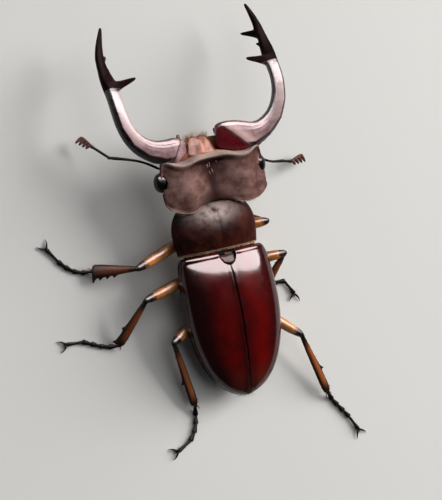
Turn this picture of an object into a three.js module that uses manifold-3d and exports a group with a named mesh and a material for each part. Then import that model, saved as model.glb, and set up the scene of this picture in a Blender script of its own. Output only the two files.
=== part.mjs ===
// Male stag beetle, life size, standing still with its mandibles open.
// Millimetres, +Z up, +Y towards the mandible tips, +X to the beetle's right.
// The trunk is drawn round the joint between pronotum and elytra: y = 0 is that joint, z = 0 is the
// level of the shell's side margins there. The trunk is then lifted and pitched nose up on its legs.

import * as THREE from "three";
import { LoftGeometry } from "three/addons/geometries/LoftGeometry.js";
import { mergeVertices } from "three/addons/utils/BufferGeometryUtils.js";
import Module from "manifold-3d";

const wasm = await Module();
wasm.setup();

// ---- driving dimensions -------------------------------------------------------------------------

const jointGap = 0.15; // clearance left all round where one piece sits in another
const marginHeight = 6.9; // height of the side margins above the floor at the pronotum joint
const trunkPitch = THREE.MathUtils.degToRad(5); // the tail hangs lower than the head

const elytraLength = 29.3;
const elytraHalfWidth = 10.05;
const elytraFrontHalfWidth = 9.1;
const elytraWidestAt = 11; // distance of the widest place behind the joint
const elytraHeight = 5.6;
const elytraFrontHeight = 3.2;
const elytraWall = 1.1;
const sutureGap = 0.06; // each elytron stops this far from the middle plane

const scutellumHalfWidth = 1.75;
const scutellumFront = -0.45; // y of its front edge
const scutellumLength = 2.35;
const scutellumThick = 1.3;
const scutellumSlope = 0.5; // rise of its top for each millimetre towards the tail
const scutellumSink = 0.18; // of its top at the joint below the elytra's front height

const pronotumLength = 9.7;
const pronotumHalfWidth = 8.85;
const pronotumHeight = 4.3;
const prothoraxShift = -0.6; // the prothorax is turned out a little to the left of the elytra
const bellyDepth = 4.25;
const thoraxLength = 13.6; // underside behind the pronotum that carries the middle and hind legs

const headHalfWidth = 10.8; // at the ear-shaped lobes
const headTop = 12.2; // heights on the head are those before it is tilted
const headTilt = THREE.MathUtils.degToRad(10); // the front is raised, about the nape
const headDrop = 1.0; // the tilted head is then let down onto the prothorax
const headShift = 0.55; // and carried a little to the right
const headBottom = 5.6;
const lobeRear = 8.15; // y of the hindmost edge of the lobes
const lobeCentre = 6.3; // x of that place
const headNape = 9.95; // y of the rear edge between the lobes
const ridgeFront = 18.5; // y of the crest of the frontal ridge at the middle
const ridgeDip = 0.75; // the crest swings back this far between middle and corner
const ridgeCornerLead = 0.55; // and its corners stand this far ahead of its middle

const mandibleReach = 25.1; // from the hinge to the tips, along Y
const tarsusSegments = [1.9, 1.8, 1.8, 1.8, 3.4];
const clawLength = 2.1;
const floorFlat = 0; // every foot is trimmed flat at this level

// ---- small maths --------------------------------------------------------------------------------

const V = (x, y, z) => new THREE.Vector3(x, y, z);
const clamp01 = (t) => Math.min(1, Math.max(0, t));
const smooth = (t) => clamp01(t) ** 2 * (3 - 2 * clamp01(t));
const bump = (t) => (Math.abs(t) < 1 ? Math.cos((t * Math.PI) / 2) ** 2 : 0);
const bell = (t) => Math.exp(-t * t);

// Smooth curve through [place, value] pairs.
function profile(pairs) {
  return (place) => {
    let i = 0;
    while (i < pairs.length - 2 && place > pairs[i + 1][0]) i += 1;
    const [a, from] = pairs[i];
    const [b, to] = pairs[i + 1];
    const slopeAt = (k) => {
      if (k === 0 || k === pairs.length - 1) return null;
      return (pairs[k + 1][1] - pairs[k - 1][1]) / (pairs[k + 1][0] - pairs[k - 1][0]);
    };
    const straight = (to - from) / (b - a);
    const m0 = slopeAt(i) ?? straight;
    const m1 = slopeAt(i + 1) ?? straight;
    const t = clamp01((place - a) / (b - a));
    const h = b - a;
    return (
      from * (1 + 2 * t) * (1 - t) ** 2 +
      m0 * h * t * (1 - t) ** 2 +
      to * t * t * (3 - 2 * t) +
      m1 * h * t * t * (t - 1)
    );
  };
}

// Rounded-box quarter: the height left at a share of the half-width.
const dome = (share, power) => Math.max(0, 1 - Math.abs(share) ** power) ** (1 / power);

// ---- solids -------------------------------------------------------------------------------------

// A closed solid from any closed geometry, with its faces turned outwards.
function solid(geometry) {
  const bare = new THREE.BufferGeometry();
  bare.setAttribute("position", geometry.attributes.position);
  bare.setIndex(geometry.index);
  const merged = mergeVertices(bare, 1e-5);
  const place = merged.attributes.position.array;
  const corners = Array.from(merged.index.array);
  let triangles = [];
  for (let i = 0; i < corners.length; i += 3) {
    const [a, b, c] = corners.slice(i, i + 3);
    if (a !== b && b !== c && a !== c) triangles.push([a, b, c]);
  }
  const point = (i) => V(place[3 * i], place[3 * i + 1], place[3 * i + 2]);
  const sixth = ([a, b, c]) => point(a).dot(point(b).cross(point(c)));
  const volume = triangles.reduce((sum, triangle) => sum + sixth(triangle), 0);
  if (volume < 0) triangles = triangles.map(([a, b, c]) => [a, c, b]);
  const mesh = new wasm.Mesh({
    numProp: 3,
    vertProperties: Float32Array.from(place),
    triVerts: Uint32Array.from(triangles.flat()),
  });
  return new wasm.Manifold(mesh);
}

// A closed skin over a row of rings. The rings are turned to run counter-clockwise as seen from the
// end of the row, which is what a loft needs for its sides to face outwards.
function loft(rings) {
  const total = (ring) => ring.reduce((sum, point) => sum.add(point), V(0, 0, 0));
  const centre = (ring) => total(ring).divideScalar(ring.length);
  const spin = V(0, 0, 0);
  rings[1].forEach((point, i) => spin.add(point.clone().cross(rings[1][(i + 1) % rings[1].length])));
  const backwards = spin.dot(centre(rings.at(-1)).sub(centre(rings[0]))) < 0;
  const turned = backwards ? rings.map((ring) => [...ring].reverse()) : rings;
  return solid(new LoftGeometry(turned, { closed: true, capStart: true, capEnd: true }));
}

// The largest body of a cut solid, so that no crumb of it is kept.
function mainBody(shape) {
  const bodies = shape.decompose();
  return bodies.reduce((best, body) => (body.volume() > best.volume() ? body : best));
}

const cut = (shape, ...tools) => mainBody(tools.reduce((left, tool) => left.subtract(tool), shape));
const join = (...shapes) => mainBody(shapes.reduce((all, shape) => all.add(shape)));

// A limb: oval sections along a smooth path. size(t) gives [half-width, half-height] at share t.
function limb(path, size, { sides = 8, rings = 8, level = V(0, 0, 1), grow = 0 } = {}) {
  const curve = new THREE.CatmullRomCurve3(path, false, "centripetal");
  const sections = [];
  for (let i = 0; i < rings; i += 1) {
    const t = i / (rings - 1);
    const along = curve.getTangentAt(t);
    const across = V(0, 0, 0).crossVectors(along, level).normalize();
    const up = V(0, 0, 0).crossVectors(across, along);
    const [wide, high] = size(t);
    const middle = curve.getPointAt(t).addScaledVector(along, grow * (2 * t - 1));
    const ring = [];
    for (let k = 0; k < sides; k += 1) {
      const angle = ((k + 0.5) / sides) * 2 * Math.PI;
      ring.push(
        middle
          .clone()
          .addScaledVector(across, Math.cos(angle) * (wide + grow))
          .addScaledVector(up, Math.sin(angle) * (high + grow)),
      );
    }
    sections.push(ring);
  }
  return loft(sections);
}

// A short thorn that tapers from its root to its tip.
function thorn(root, tip, radius) {
  return limb([root, tip], (t) => [radius * (1 - 0.78 * t), radius * (1 - 0.78 * t)], {
    sides: 4,
    rings: 2,
    level: V(0.3, 0.2, 1).normalize(),
  });
}

function ball(centre, radii, { grow = 0, across = 8, down = 4 } = {}) {
  const sphere = new THREE.SphereGeometry(1, across, down);
  sphere.scale(radii.x + grow, radii.y + grow, radii.z + grow);
  sphere.translate(centre.x, centre.y, centre.z);
  return solid(sphere);
}

// ---- shell outlines -----------------------------------------------------------------------------

// Half-width of the closed elytra at a distance behind the joint: nearly straight sides in front of
// the widest place, and a half ellipse behind it.
function shellHalfWidth(back) {
  if (back < elytraWidestAt) {
    const lead = (elytraWidestAt - back) / elytraWidestAt;
    return elytraHalfWidth - (elytraHalfWidth - elytraFrontHalfWidth) * lead ** 2;
  }
  const share = (back - elytraWidestAt) / (elytraLength - elytraWidestAt);
  return elytraHalfWidth * Math.sqrt(Math.max(0, 1 - share ** 2.15));
}

const shellHeight = profile([
  [0, elytraFrontHeight],
  [3, elytraHeight - 1.15],
  [6, elytraHeight - 0.45],
  [11, elytraHeight],
  [16, elytraHeight - 0.25],
  [20, elytraHeight - 0.85],
  [24, elytraHeight - 1.9],
  [27, elytraHeight - 3.1],
  [elytraLength, 0.9],
]);

const trunkDepth = profile([
  [0, bellyDepth - 0.5],
  [5, bellyDepth],
  [12, bellyDepth],
  [20, bellyDepth - 0.5],
  [25, bellyDepth - 1.5],
  [elytraLength, 0.8],
]);

const pronotumSide = profile([
  [0, pronotumHalfWidth - 0.65],
  [1.4, pronotumHalfWidth - 0.3],
  [3.4, pronotumHalfWidth],
  [5.4, pronotumHalfWidth - 0.05],
  [7.4, pronotumHalfWidth - 0.55],
  [pronotumLength, pronotumHalfWidth - 2.3],
]);

const pronotumTop = profile([
  [0, pronotumHeight - 0.75],
  [2.5, pronotumHeight - 0.1],
  [5, pronotumHeight],
  [7.2, pronotumHeight - 0.4],
  [pronotumLength, pronotumHeight - 1.7],
]);

// ---- trunk --------------------------------------------------------------------------------------

// One elytron, the right one, as a bowed wall with a tucked-in side rim.
function elytron() {
  const outerSteps = 10;
  const innerSteps = 4;
  const stations = [0.35, 0.8, 2, 4, 7, 11, 15, 19, 22.5, 25.3, 27.4, 28.7, elytraLength];
  const rings = stations.map((back) => {
    const half = Math.max(0.5, shellHalfWidth(back) - 0.7 * bump(back / 1.6) ** 2);
    const high = shellHeight(back) - 0.5 * bump(back / 1.1);
    const wall = Math.min(elytraWall, high * 0.55);
    const tuck = Math.min(1.1, half * 0.3);
    const ring = [];
    for (let k = 0; k <= outerSteps; k += 1) {
      const angle = (k / outerSteps) * (Math.PI / 2);
      const x = sutureGap + (half - sutureGap) * Math.sin(angle) ** 0.9;
      ring.push(V(x, -back, high * dome((x - sutureGap) / (half - sutureGap), 2.25)));
    }
    ring.push(V(half - 0.12 * tuck, -back, -0.55));
    ring.push(V(half - 0.75 * tuck, -back, -1.05));
    for (let k = innerSteps; k >= 0; k -= 1) {
      const angle = (k / innerSteps) * (Math.PI / 2);
      const reach = half - sutureGap - 1.25 * tuck;
      const x = sutureGap + reach * Math.sin(angle);
      const ceiling = (high - wall) * dome((x - sutureGap) / reach, 2.25);
      ring.push(V(x, -back, ceiling - 0.3 * (1 - Math.cos(angle))));
    }
    return ring;
  });
  return loft(rings);
}

// A closed section of the trunk below the elytra, from one distance behind the joint to another.
function trunkSection(from, to, steps, squeeze) {
  const rings = [];
  for (let i = 0; i <= steps; i += 1) {
    const share = i / steps;
    const back = from + (to - from) * share;
    const [pinch, lip] = squeeze(share);
    const half = (shellHalfWidth(back) - 1.75) * pinch;
    const high = (shellHeight(back) - elytraWall - 0.45) * pinch;
    const deep = trunkDepth(back) * pinch * lip;
    const ring = [];
    for (let k = 0; k <= 5; k += 1) {
      const angle = (k / 5) * Math.PI;
      ring.push(V(Math.cos(angle) * (half - 0.1), -back, high * Math.sin(angle) - 0.45));
    }
    for (let k = 0; k <= 7; k += 1) {
      const angle = Math.PI * (1 + k / 7);
      const x = Math.cos(angle) * (half + 0.55 * pinch);
      ring.push(V(x, -back, -1.45 * pinch - (deep - 1.45 * pinch) * Math.abs(Math.sin(angle)) ** 0.8));
    }
    rings.push(ring);
  }
  return loft(rings);
}

function pronotum(grow = 0) {
  const stations = [0.3, 0.75, 1.7, 3.2, 5, 6.6, 7.9, 8.9, pronotumLength];
  const rings = stations.map((station) => {
    const y = station + grow * (station > 5 ? 1 : -1);
    const half = pronotumSide(station) + grow;
    const bead = -0.28 * bump((station - 1.25) / 0.7);
    const high = pronotumTop(station) + bead - 0.35 * bump(station / 0.6) + grow;
    const ring = [];
    for (let k = 0; k <= 14; k += 1) {
      const angle = (k / 14) * Math.PI;
      const x = Math.sign(Math.cos(angle)) * half * Math.abs(Math.cos(angle)) ** 0.9;
      ring.push(V(x, y, high * dome(x / half, 2.15)));
    }
    for (const share of [-0.985, -0.87, -0.3, 0.3, 0.87, 0.985]) {
      ring.push(V(share * half, y, (Math.abs(share) > 0.9 ? -0.45 : -0.95) - grow));
    }
    return ring;
  });
  return loft(rings);
}

// Underside of the prothorax, below the pronotum plate, between and round the front hips.
function prosternum() {
  const stations = [0.5, 1.4, 3, 5, 7, 8.4, 9.2];
  const rings = stations.map((y) => {
    const half = pronotumSide(y) - 1.25 - 0.5 * smooth((y - 6) / 3);
    const deep = bellyDepth - 0.25 - 0.9 * smooth((y - 4) / 5) - 0.5 * bump(y / 1.5);
    const ring = [];
    for (let k = 0; k <= 8; k += 1) {
      const angle = Math.PI * (k / 8);
      ring.push(V(Math.cos(angle) * half, y, -1.25 - (deep - 1.25) * Math.sin(angle) ** 0.8));
    }
    ring.push(V(-half * 0.4, y, -1.2), V(half * 0.4, y, -1.2));
    return ring;
  });
  return loft(rings);
}

// Small rounded triangle between the bases of the elytra. Its top lies level with theirs, rising
// towards the rear.
function scutellum(grow = 0) {
  const halfWidth = scutellumHalfWidth + grow;
  const front = scutellumFront + grow;
  const tip = front - scutellumLength - 2 * grow;
  const outline = new THREE.Shape();
  outline.moveTo(-halfWidth, front);
  outline.lineTo(halfWidth, front);
  outline.quadraticCurveTo(halfWidth * 0.95, tip * 0.8, 0, tip);
  outline.quadraticCurveTo(-halfWidth * 0.95, tip * 0.8, -halfWidth, front);
  const depth = scutellumThick + 3 * grow;
  const plate = new THREE.ExtrudeGeometry(outline, { depth, bevelEnabled: false, curveSegments: 5 });
  plate.translate(0, 0, elytraFrontHeight - scutellumSink - scutellumThick - grow);
  plate.applyMatrix4(new THREE.Matrix4().makeShear(0, 0, 0, -scutellumSlope, 0, 0));
  return solid(plate);
}

// ---- head ---------------------------------------------------------------------------------------

const headRear = (a) => {
  if (a < lobeCentre) return headNape - (headNape - lobeRear) * smooth(a / lobeCentre);
  const share = (a - lobeCentre) / (headHalfWidth + 0.1 - lobeCentre);
  return lobeRear + 3.3 * (1 - Math.sqrt(Math.max(0, 1 - share * share)));
};
const headRidge = (a) => {
  const wave = ridgeCornerLead * smooth((a - 7.5) / 2.6) - ridgeDip * bump((a - 6.3) / 3.9);
  const rounding = 4.6 * smooth((a - 10.35) / 0.6);
  return ridgeFront + wave - rounding;
};

// Upper surface: two swollen side areas, a valley that deepens towards the front, a turned-up rear
// rim on each lobe and the crest of the frontal ridge.
function headSurface(x, y) {
  const a = Math.abs(x);
  const swelling = 0.75 * bell((a - 6.4) / 3.2) * bell((y - 12.3) / 3.1);
  const valley = 1.0 * bell(x / 2.7) * smooth((y - 9.5) / 5.5);
  const sag = 0.35 * smooth((y - 13) / 3.5) * smooth((9.5 - a) / 4);
  const rim = 0.3 * bell((y - headRear(a) - 0.2) / 0.45) * smooth((a - 3.4) / 2);
  const crest = (0.95 - 0.35 * smooth((a - 3) / 4)) * bell((y - headRidge(a)) / 0.6);
  const droop = 1.25 * smooth((a - 6.2) / 5.2);
  return headTop - 0.35 + swelling - valley - sag + rim + crest - droop;
}

function head(grow = 0) {
  const half = [1.1, 3.0, 4.6, 6.2, 7.6, 8.8, 9.7, 10.25, 10.6, headHalfWidth];
  const stations = [...half.map((a) => -a).reverse(), ...half];
  const rings = stations.map((x) => {
    const a = Math.abs(x);
    const rear = headRear(a);
    const ridge = headRidge(a);
    const outer = smooth((a - 8.2) / 2.3);
    const ring = [];
    for (const share of [0, 0.07, 0.22, 0.4, 0.58, 0.76, 0.9, 0.96, 1]) {
      const y = rear + (ridge - rear) * share;
      ring.push([y, headSurface(x, y) - (share === 0 ? 0.25 : 0)]);
    }
    const crestHeight = headSurface(x, ridge);
    const clypeus = Math.max(0.45 * (1 - outer), 19.4 - ridge - 1.2 * smooth((a - 2.6) / 1.6));
    const under = headBottom + 4.1 * smooth((a - 5.5) / 5.2);
    const plateUnder = crestHeight - 1.0;
    ring.push([ridge + 0.25, crestHeight - 0.45]);
    ring.push([ridge + 0.3 + 0.7 * clypeus * (1 - outer), Math.min(crestHeight - 0.9, 11.0)]);
    ring.push([ridge + 0.2 + clypeus * (1 - outer), Math.min(plateUnder, 8.4 + 1.6 * outer)]);
    ring.push([ridge - 0.7, Math.min(plateUnder - 0.2, under + 0.7)]);
    const depth = ridge - rear;
    ring.push([rear + 0.64 * depth, Math.min(plateUnder - 0.3, under)]);
    const back = rear + Math.min(0.4 * depth, Math.max(0.9 + outer, 11.1 - rear));
    const lobeUnder = headSurface(x, back) - 1.15;
    ring.push([back + 0.1 * depth, Math.min(lobeUnder - 0.15, under + 0.5)]);
    ring.push([back, lobeUnder]);
    ring.push([rear + 0.2, headSurface(x, rear) - 0.95]);
    const middleY = (rear + ridge) / 2;
    const middleZ = 9.6;
    return ring.map(([y, z]) => {
      const away = V(0, y - middleY, z - middleZ).normalize().multiplyScalar(grow);
      return V(x + Math.sign(x) * grow * smooth((a - 9) / 1.5), y, z).add(away);
    });
  });
  return loft(rings);
}

const eyeCentre = (side) => V(side * 10.2, 15.0, 9.3);
const eyeRadii = V(1.75, 2.15, 1.75);

// Clypeus and upper lip, between the mandible bases.
function upperLip() {
  const rings = [];
  for (let i = 0; i <= 5; i += 1) {
    const t = i / 5;
    const half = 2.6 - 1.0 * t ** 1.6;
    const high = 0.85 - 0.3 * t;
    const ring = [];
    for (let k = 0; k < 10; k += 1) {
      const angle = ((k + 0.5) / 10) * 2 * Math.PI;
      const x = Math.cos(angle) * half;
      const y = 20.1 + 2.7 * t - 0.25 * (x / half) ** 2 * t;
      ring.push(V(x, y, 9.9 - 1.5 * t + Math.sin(angle) * high));
    }
    rings.push(ring);
  }
  return loft(rings);
}

// ---- mandibles ----------------------------------------------------------------------------------

// The right mandible: a broad hinge bar at the head, a long bow, a main tooth two thirds out, a low
// tooth after it, and a fork whose lower tine points inwards and down.
const hinge = V(3.4, ridgeFront + 2.7, 10.2);
const mandiblePath = [
  hinge,
  V(6.3, hinge.y - 0.2, 10.6),
  V(9.2, hinge.y - 0.3, 10.8),
  V(12.2, hinge.y + 0.6, 10.7),
  V(14.8, hinge.y + 2.8, 10.8),
  V(16.4, hinge.y + 6.1, 10.7),
  V(16.95, hinge.y + 9.8, 10.1),
  V(16.95, hinge.y + 13.2, 8.3),
  V(17.1, hinge.y + 16.4, 5.9),
  V(16.95, hinge.y + 19.8, 4.1),
  V(16.3, hinge.y + 22.4, 3.6),
  V(15.3, hinge.y + mandibleReach, 2.8),
];
const mandibleWide = profile([
  [0, 1.6],
  [0.06, 2.5],
  [0.16, 2.45],
  [0.27, 1.95],
  [0.4, 1.5],
  [0.52, 1.3],
  [0.62, 1.3],
  [0.7, 1.4],
  [0.77, 0.95],
  [0.86, 0.8],
  [0.92, 0.6],
  [1, 0.26],
]);
const mandibleHigh = profile([
  [0, 1.3],
  [0.1, 1.9],
  [0.3, 1.75],
  [0.5, 1.4],
  [0.7, 1.25],
  [0.85, 0.95],
  [1, 0.26],
]);

function mandible() {
  const curve = new THREE.CatmullRomCurve3(mandiblePath, false, "centripetal");
  const rings = [];
  const steps = 18;
  for (let i = 0; i <= steps; i += 1) {
    const t = i / steps;
    const along = curve.getTangentAt(t);
    const outward = V(0, 0, 0).crossVectors(along, V(0, 0, 1)).normalize();
    const up = V(0, 0, 0).crossVectors(outward, along);
    const wide = mandibleWide(t);
    const high = mandibleHigh(t);
    const boxy = 1 - 0.3 * Math.min(1, 4 * t * (1 - t));
    const ring = [];
    for (let k = 0; k < 10; k += 1) {
      const angle = ((k + 0.5) / 10) * 2 * Math.PI;
      const u = Math.sign(Math.cos(angle)) * Math.abs(Math.cos(angle)) ** boxy;
      const v = Math.sign(Math.sin(angle)) * Math.abs(Math.sin(angle)) ** boxy;
      const thin = 1 - 0.2 * (1 - u) * smooth(t / 0.3);
      const point = curve.getPointAt(t).addScaledVector(outward, u * wide);
      ring.push(point.addScaledVector(up, v * high * thin));
    }
    rings.push(ring);
  }
  const at = (t) => curve.getPointAt(t);
  const tooth = (t, reach, wide, high, rise) => {
    const root = at(t).add(V(0.2, -0.1, 0));
    const bend = at(t).add(V(-reach.x * 0.5, reach.y * 0.32, rise * 0.35));
    const tip = at(t).add(V(-reach.x, reach.y, rise));
    const taper = (s) => [wide * (1 - 0.8 * s ** 0.8), high * (1 - 0.72 * s)];
    return limb([root, bend, tip], taper, { sides: 5, rings: 4 });
  };
  const mainTooth = tooth(0.652, V(5.4, 1.0, 0), 1.5, 0.95, 0.4);
  const lowTooth = tooth(0.745, V(1.5, 0.5, 0), 0.8, 0.55, -1.2);
  const lowerTine = tooth(0.82, V(2.5, 0.3, 0), 1.25, 0.85, -4.5);
  return join(loft(rings), mainTooth, lowTooth, lowerTine);
}

// ---- antennae and palps -------------------------------------------------------------------------

const heading = (side, degrees) => {
  const angle = THREE.MathUtils.degToRad(degrees);
  return V(side * Math.sin(angle), Math.cos(angle), 0);
};

// An elbowed antenna: long scape, beaded funicle, club of four leaves that face backwards. The right
// one hangs lower than the left.
const antennae = [
  {
    side: -1,
    root: V(-9.5, 17.8, 9.5),
    elbow: V(-17.9, 22.2, 5.6),
    neck: V(-20.1, 25.1, 3.2),
    end: V(-21.6, 27.6, 2.3),
  },
  {
    side: 1,
    root: V(11.2, 16.3, 9.5),
    elbow: V(18.2, 14.9, 4.4),
    neck: V(20.7, 14.6, 2.3),
    end: V(23.9, 15.7, 1.6),
  },
];

function antennaPieces({ side, root, elbow, neck, end }) {
  const bow = V(0, side < 0 ? 0.6 : -0.6, 0.7);
  const between = (a, b, t) => a.clone().lerp(b, t);
  const scapeSize = (t) => {
    const r = 0.3 + 0.14 * smooth((t - 0.6) / 0.4) + 0.1 * bump((t - 0.04) / 0.1);
    return [r, r];
  };
  const scapePath = [root, between(root, elbow, 0.35).add(bow), elbow];
  const scapePiece = limb(scapePath, scapeSize, { sides: 6, rings: 6 });
  const beads = 5;
  const beadSize = (t) => {
    const r = 0.27 + 0.1 * Math.sin(beads * Math.PI * t) ** 2;
    return [r, r];
  };
  const beadedPath = [between(elbow, neck, 0.1), neck];
  const funiclePiece = limb(beadedPath, beadSize, { sides: 6, rings: 2 * beads + 1 });
  const stem = limb([between(neck, end, 0.05), end], () => [0.32, 0.32], { sides: 5, rings: 2 });
  const aside = V(0, 0, 0).crossVectors(V(0, 0, side), end.clone().sub(neck)).negate().normalize();
  const leaves = [0, 1, 2, 3].map((i) => {
    const middle = between(neck, end, 0.2 + 0.24 * i).addScaledVector(aside, 0.55 + 0.12 * i);
    const leaf = new THREE.SphereGeometry(1, 6, 3);
    leaf.scale(0.95 + 0.12 * i, 0.4, 0.42);
    leaf.rotateZ(Math.atan2(aside.y, aside.x));
    leaf.translate(middle.x, middle.y, middle.z);
    return solid(leaf);
  });
  return { scape: scapePiece, funicle: funiclePiece, club: join(stem, ...leaves) };
}

// A jointed feeler below the mouth.
function palp(side) {
  const path = [V(side * 3.3, 19.6, 6.2), V(side * 4.0, 21.3, 5.7), V(side * 3.9, 23.2, 5.0)];
  const size = (t) => {
    const r = 0.36 + 0.12 * Math.sin(3 * Math.PI * t) ** 2;
    return [r, r];
  };
  return limb(path, size, { sides: 6, rings: 7 });
}

// ---- legs ---------------------------------------------------------------------------------------

// Headings are in degrees from straight ahead, turning outwards. Heights are above the floor.
// tarsusTo gives the tarsus's heading at its root, its middle and its end.
const hips = {
  front: { y: 3.6, x: 3.5, radii: V(2.9, 1.5, 1.35) },
  middle: { y: -3.9, x: 3.7, radii: V(2.7, 1.55, 1.3) },
  hind: { y: -12.0, x: 4.6, radii: V(3.7, 1.3, 1.1) },
};
const pairs = {
  front: { tibia: 9.1, thick: 1.15, tibiaEnd: 1.55, outerTeeth: 4 },
  middle: { tibia: 10.7, thick: 1.05, tibiaEnd: 1.0, outerTeeth: 2 },
  hind: { tibia: 13.8, thick: 1.05, tibiaEnd: 0.95, outerTeeth: 1 },
};
const legs = [
  { pair: "front", side: -1, femur: 13.4, femurTo: 108, knee: 5.6, tibiaTo: 80, tarsusTo: [94, 46, 28] },
  { pair: "front", side: 1, femur: 8.7, femurTo: 92, knee: 6.2, tibiaTo: -64, tarsusTo: [-10, -15, -20] },
  { pair: "middle", side: -1, femur: 13.9, femurTo: 103, knee: 6.4, tibiaTo: 142, tarsusTo: [92, 62, 100] },
  { pair: "middle", side: 1, femur: 10.2, femurTo: 89, knee: 6.2, tibiaTo: 216, tarsusTo: [56, 80, 190] },
  { pair: "hind", side: -1, femur: 9.5, femurTo: 119, knee: 4.7, tibiaTo: 191, tarsusTo: [186, 150, 100] },
  { pair: "hind", side: 1, femur: 12.8, femurTo: 134, knee: 4.5, tibiaTo: 162, tarsusTo: [151, 146, 160] },
];
const ankleHeight = 1.4;
const tarsusHeight = 0.42; // of the middle of its segments
const tarsusOverlap = 0.985; // each segment starts a little inside the last

const trunk = new THREE.Group();
trunk.position.set(0, 0, marginHeight);
trunk.rotation.x = trunkPitch;
trunk.updateMatrixWorld(true);
const intoTrunk = trunk.matrixWorld.clone().invert().toArray();
const prothorax = new THREE.Group();
prothorax.position.x = prothoraxShift;
trunk.add(prothorax);

const hipCentre = (pair, side) => {
  const { x, y } = hips[pair];
  return V(side * x + (pair === "front" ? prothoraxShift : 0), y, -bellyDepth + 0.55);
};

// Lays a foot's underside flat on the floor.
function standOnFloor(shape) {
  return shape.warp((point) => {
    point[2] = Math.max(point[2], floorFlat);
  });
}

function legPieces({ pair, side, femur, femurTo, knee, tibiaTo, tarsusTo }) {
  const { tibia, thick, tibiaEnd, outerTeeth } = pairs[pair];
  const hip = trunk.localToWorld(hipCentre(pair, side).add(V(side * 0.4, 0, -0.55)));
  const flatReach = (length, rise) => Math.sqrt(length ** 2 - rise ** 2);
  const kneeAt = hip.clone().addScaledVector(heading(side, femurTo), flatReach(femur, knee - hip.z));
  kneeAt.z = knee;
  const ankle = kneeAt.clone().addScaledVector(heading(side, tibiaTo), flatReach(tibia, knee - ankleHeight));
  ankle.z = ankleHeight;

  const bow = hip.clone().lerp(kneeAt, 0.5).add(V(0, 0, 0.1));
  const femurSize = (t) => {
    const belly = 0.38 * Math.sin(Math.PI * clamp01(0.12 + 0.8 * t));
    const swell = 0.62 + belly - 0.3 * bump((t - 0.1) / 0.09);
    const end = 1 - 0.45 * smooth((t - 0.93) / 0.07) - 0.3 * (1 - smooth(t / 0.05));
    return [thick * 0.78 * swell * end, thick * swell * end];
  };
  const femurShape = (grow) => limb([hip, bow, kneeAt], femurSize, { sides: 8, rings: 7, grow });
  const down = ankle.clone().sub(kneeAt).normalize();
  const level = V(0, 0, 1).cross(down).cross(down).negate().normalize();
  const tibiaBreadth = (t) => 0.55 + (tibiaEnd - 0.55) * t ** 1.4;
  const tibiaSize = (t) => {
    const end = 1 - 0.35 * (1 - smooth(t / 0.06));
    return [tibiaBreadth(t) * end, (0.5 + 0.15 * t) * end];
  };
  const tibiaPath = [kneeAt, kneeAt.clone().lerp(ankle, 0.5), ankle];
  const tibiaShape = (grow) => limb(tibiaPath, tibiaSize, { sides: 8, rings: 4, level, grow });

  // The teeth stand along the tibia's outer edge, the longest at its end.
  const acrossTibia = V(0, 0, 0).crossVectors(down, level).normalize();
  const outerHeading = heading(side, tibiaTo + (tibiaTo > 120 ? -90 : 90));
  const outer = acrossTibia.multiplyScalar(Math.sign(acrossTibia.dot(outerHeading)));
  const teeth = [];
  for (let k = 0; k < outerTeeth; k += 1) {
    const share = outerTeeth === 1 ? 0.6 : 0.96 - (0.62 * k) / outerTeeth;
    const broad = tibiaBreadth(share);
    const root = kneeAt.clone().lerp(ankle, share).addScaledVector(outer, broad * 0.6);
    const reach = broad * 0.4 + (k === 0 && outerTeeth > 2 ? 1.0 : 0.65);
    teeth.push(thorn(root, root.clone().addScaledVector(outer, reach).addScaledVector(down, 0.45), 0.42));
  }

  // The tarsus leaves the ankle, drops to the floor and curls through its three headings.
  const [rootTurn, middleTurn, endTurn] = tarsusTo;
  const turnAt = profile([[0, rootTurn], [0.5, middleTurn], [1, endTurn]]);
  const length = tarsusSegments.reduce((sum, part) => sum + part);
  const joints = [ankle.clone().addScaledVector(down, 0.1)];
  let done = 0;
  for (const part of tarsusSegments) {
    const turn = turnAt((done + part / 2) / length);
    const next = joints.at(-1).clone().addScaledVector(heading(side, turn), part * tarsusOverlap);
    next.z = tarsusHeight;
    joints.push(next);
    done += part;
  }
  const lumps = tarsusSegments.length;
  const tarsusSize = (t) => {
    const lump = Math.sin(Math.PI * ((t * (lumps + 0.8)) % 1)) ** 2;
    const r = 0.33 + 0.17 * lump + 0.1 * smooth((t - 0.93) / 0.07);
    return [r, r];
  };
  const tarsusShape = (grow) => limb(joints, tarsusSize, { sides: 5, rings: 11, grow });
  const toe = joints.at(-1);
  const claw = (spread) => {
    const start = toe.clone().addScaledVector(heading(side, endTurn), 0.3);
    const middle = start.clone().addScaledVector(heading(side, endTurn + spread), clawLength * 0.55);
    middle.z = 0.75;
    const tip = start.clone().addScaledVector(heading(side, endTurn + 1.5 * spread), clawLength);
    tip.z = 0.14;
    return limb([start, middle, tip], (t) => [0.34 - 0.12 * t, 0.34 - 0.12 * t], { sides: 4, rings: 4 });
  };
  const pieces = {
    femur: femurShape(0),
    tibia: cut(join(tibiaShape(0), ...teeth), femurShape(jointGap)),
    tarsus: standOnFloor(cut(tarsusShape(0), tibiaShape(jointGap))),
    claws: standOnFloor(cut(join(claw(32), claw(-32)), tarsusShape(jointGap))),
  };
  return { pair, side, pieces, recess: femurShape(jointGap).transform(intoTrunk) };
}

// ---- assembly -----------------------------------------------------------------------------------

const finish = {
  elytra: new THREE.MeshStandardMaterial({ color: 0x4a0a0a, roughness: 0.25 }),
  darkShell: new THREE.MeshStandardMaterial({ color: 0x2b120f, roughness: 0.5 }),
  headShell: new THREE.MeshStandardMaterial({ color: 0x5b4038, roughness: 0.7 }),
  mandible: new THREE.MeshStandardMaterial({ color: 0x5a2a2a, roughness: 0.3 }),
  amber: new THREE.MeshStandardMaterial({ color: 0xb0642a, roughness: 0.4 }),
  blackLeg: new THREE.MeshStandardMaterial({ color: 0x15090a, roughness: 0.35 }),
  eye: new THREE.MeshStandardMaterial({ color: 0x050505, roughness: 0.1 }),
};

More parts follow.
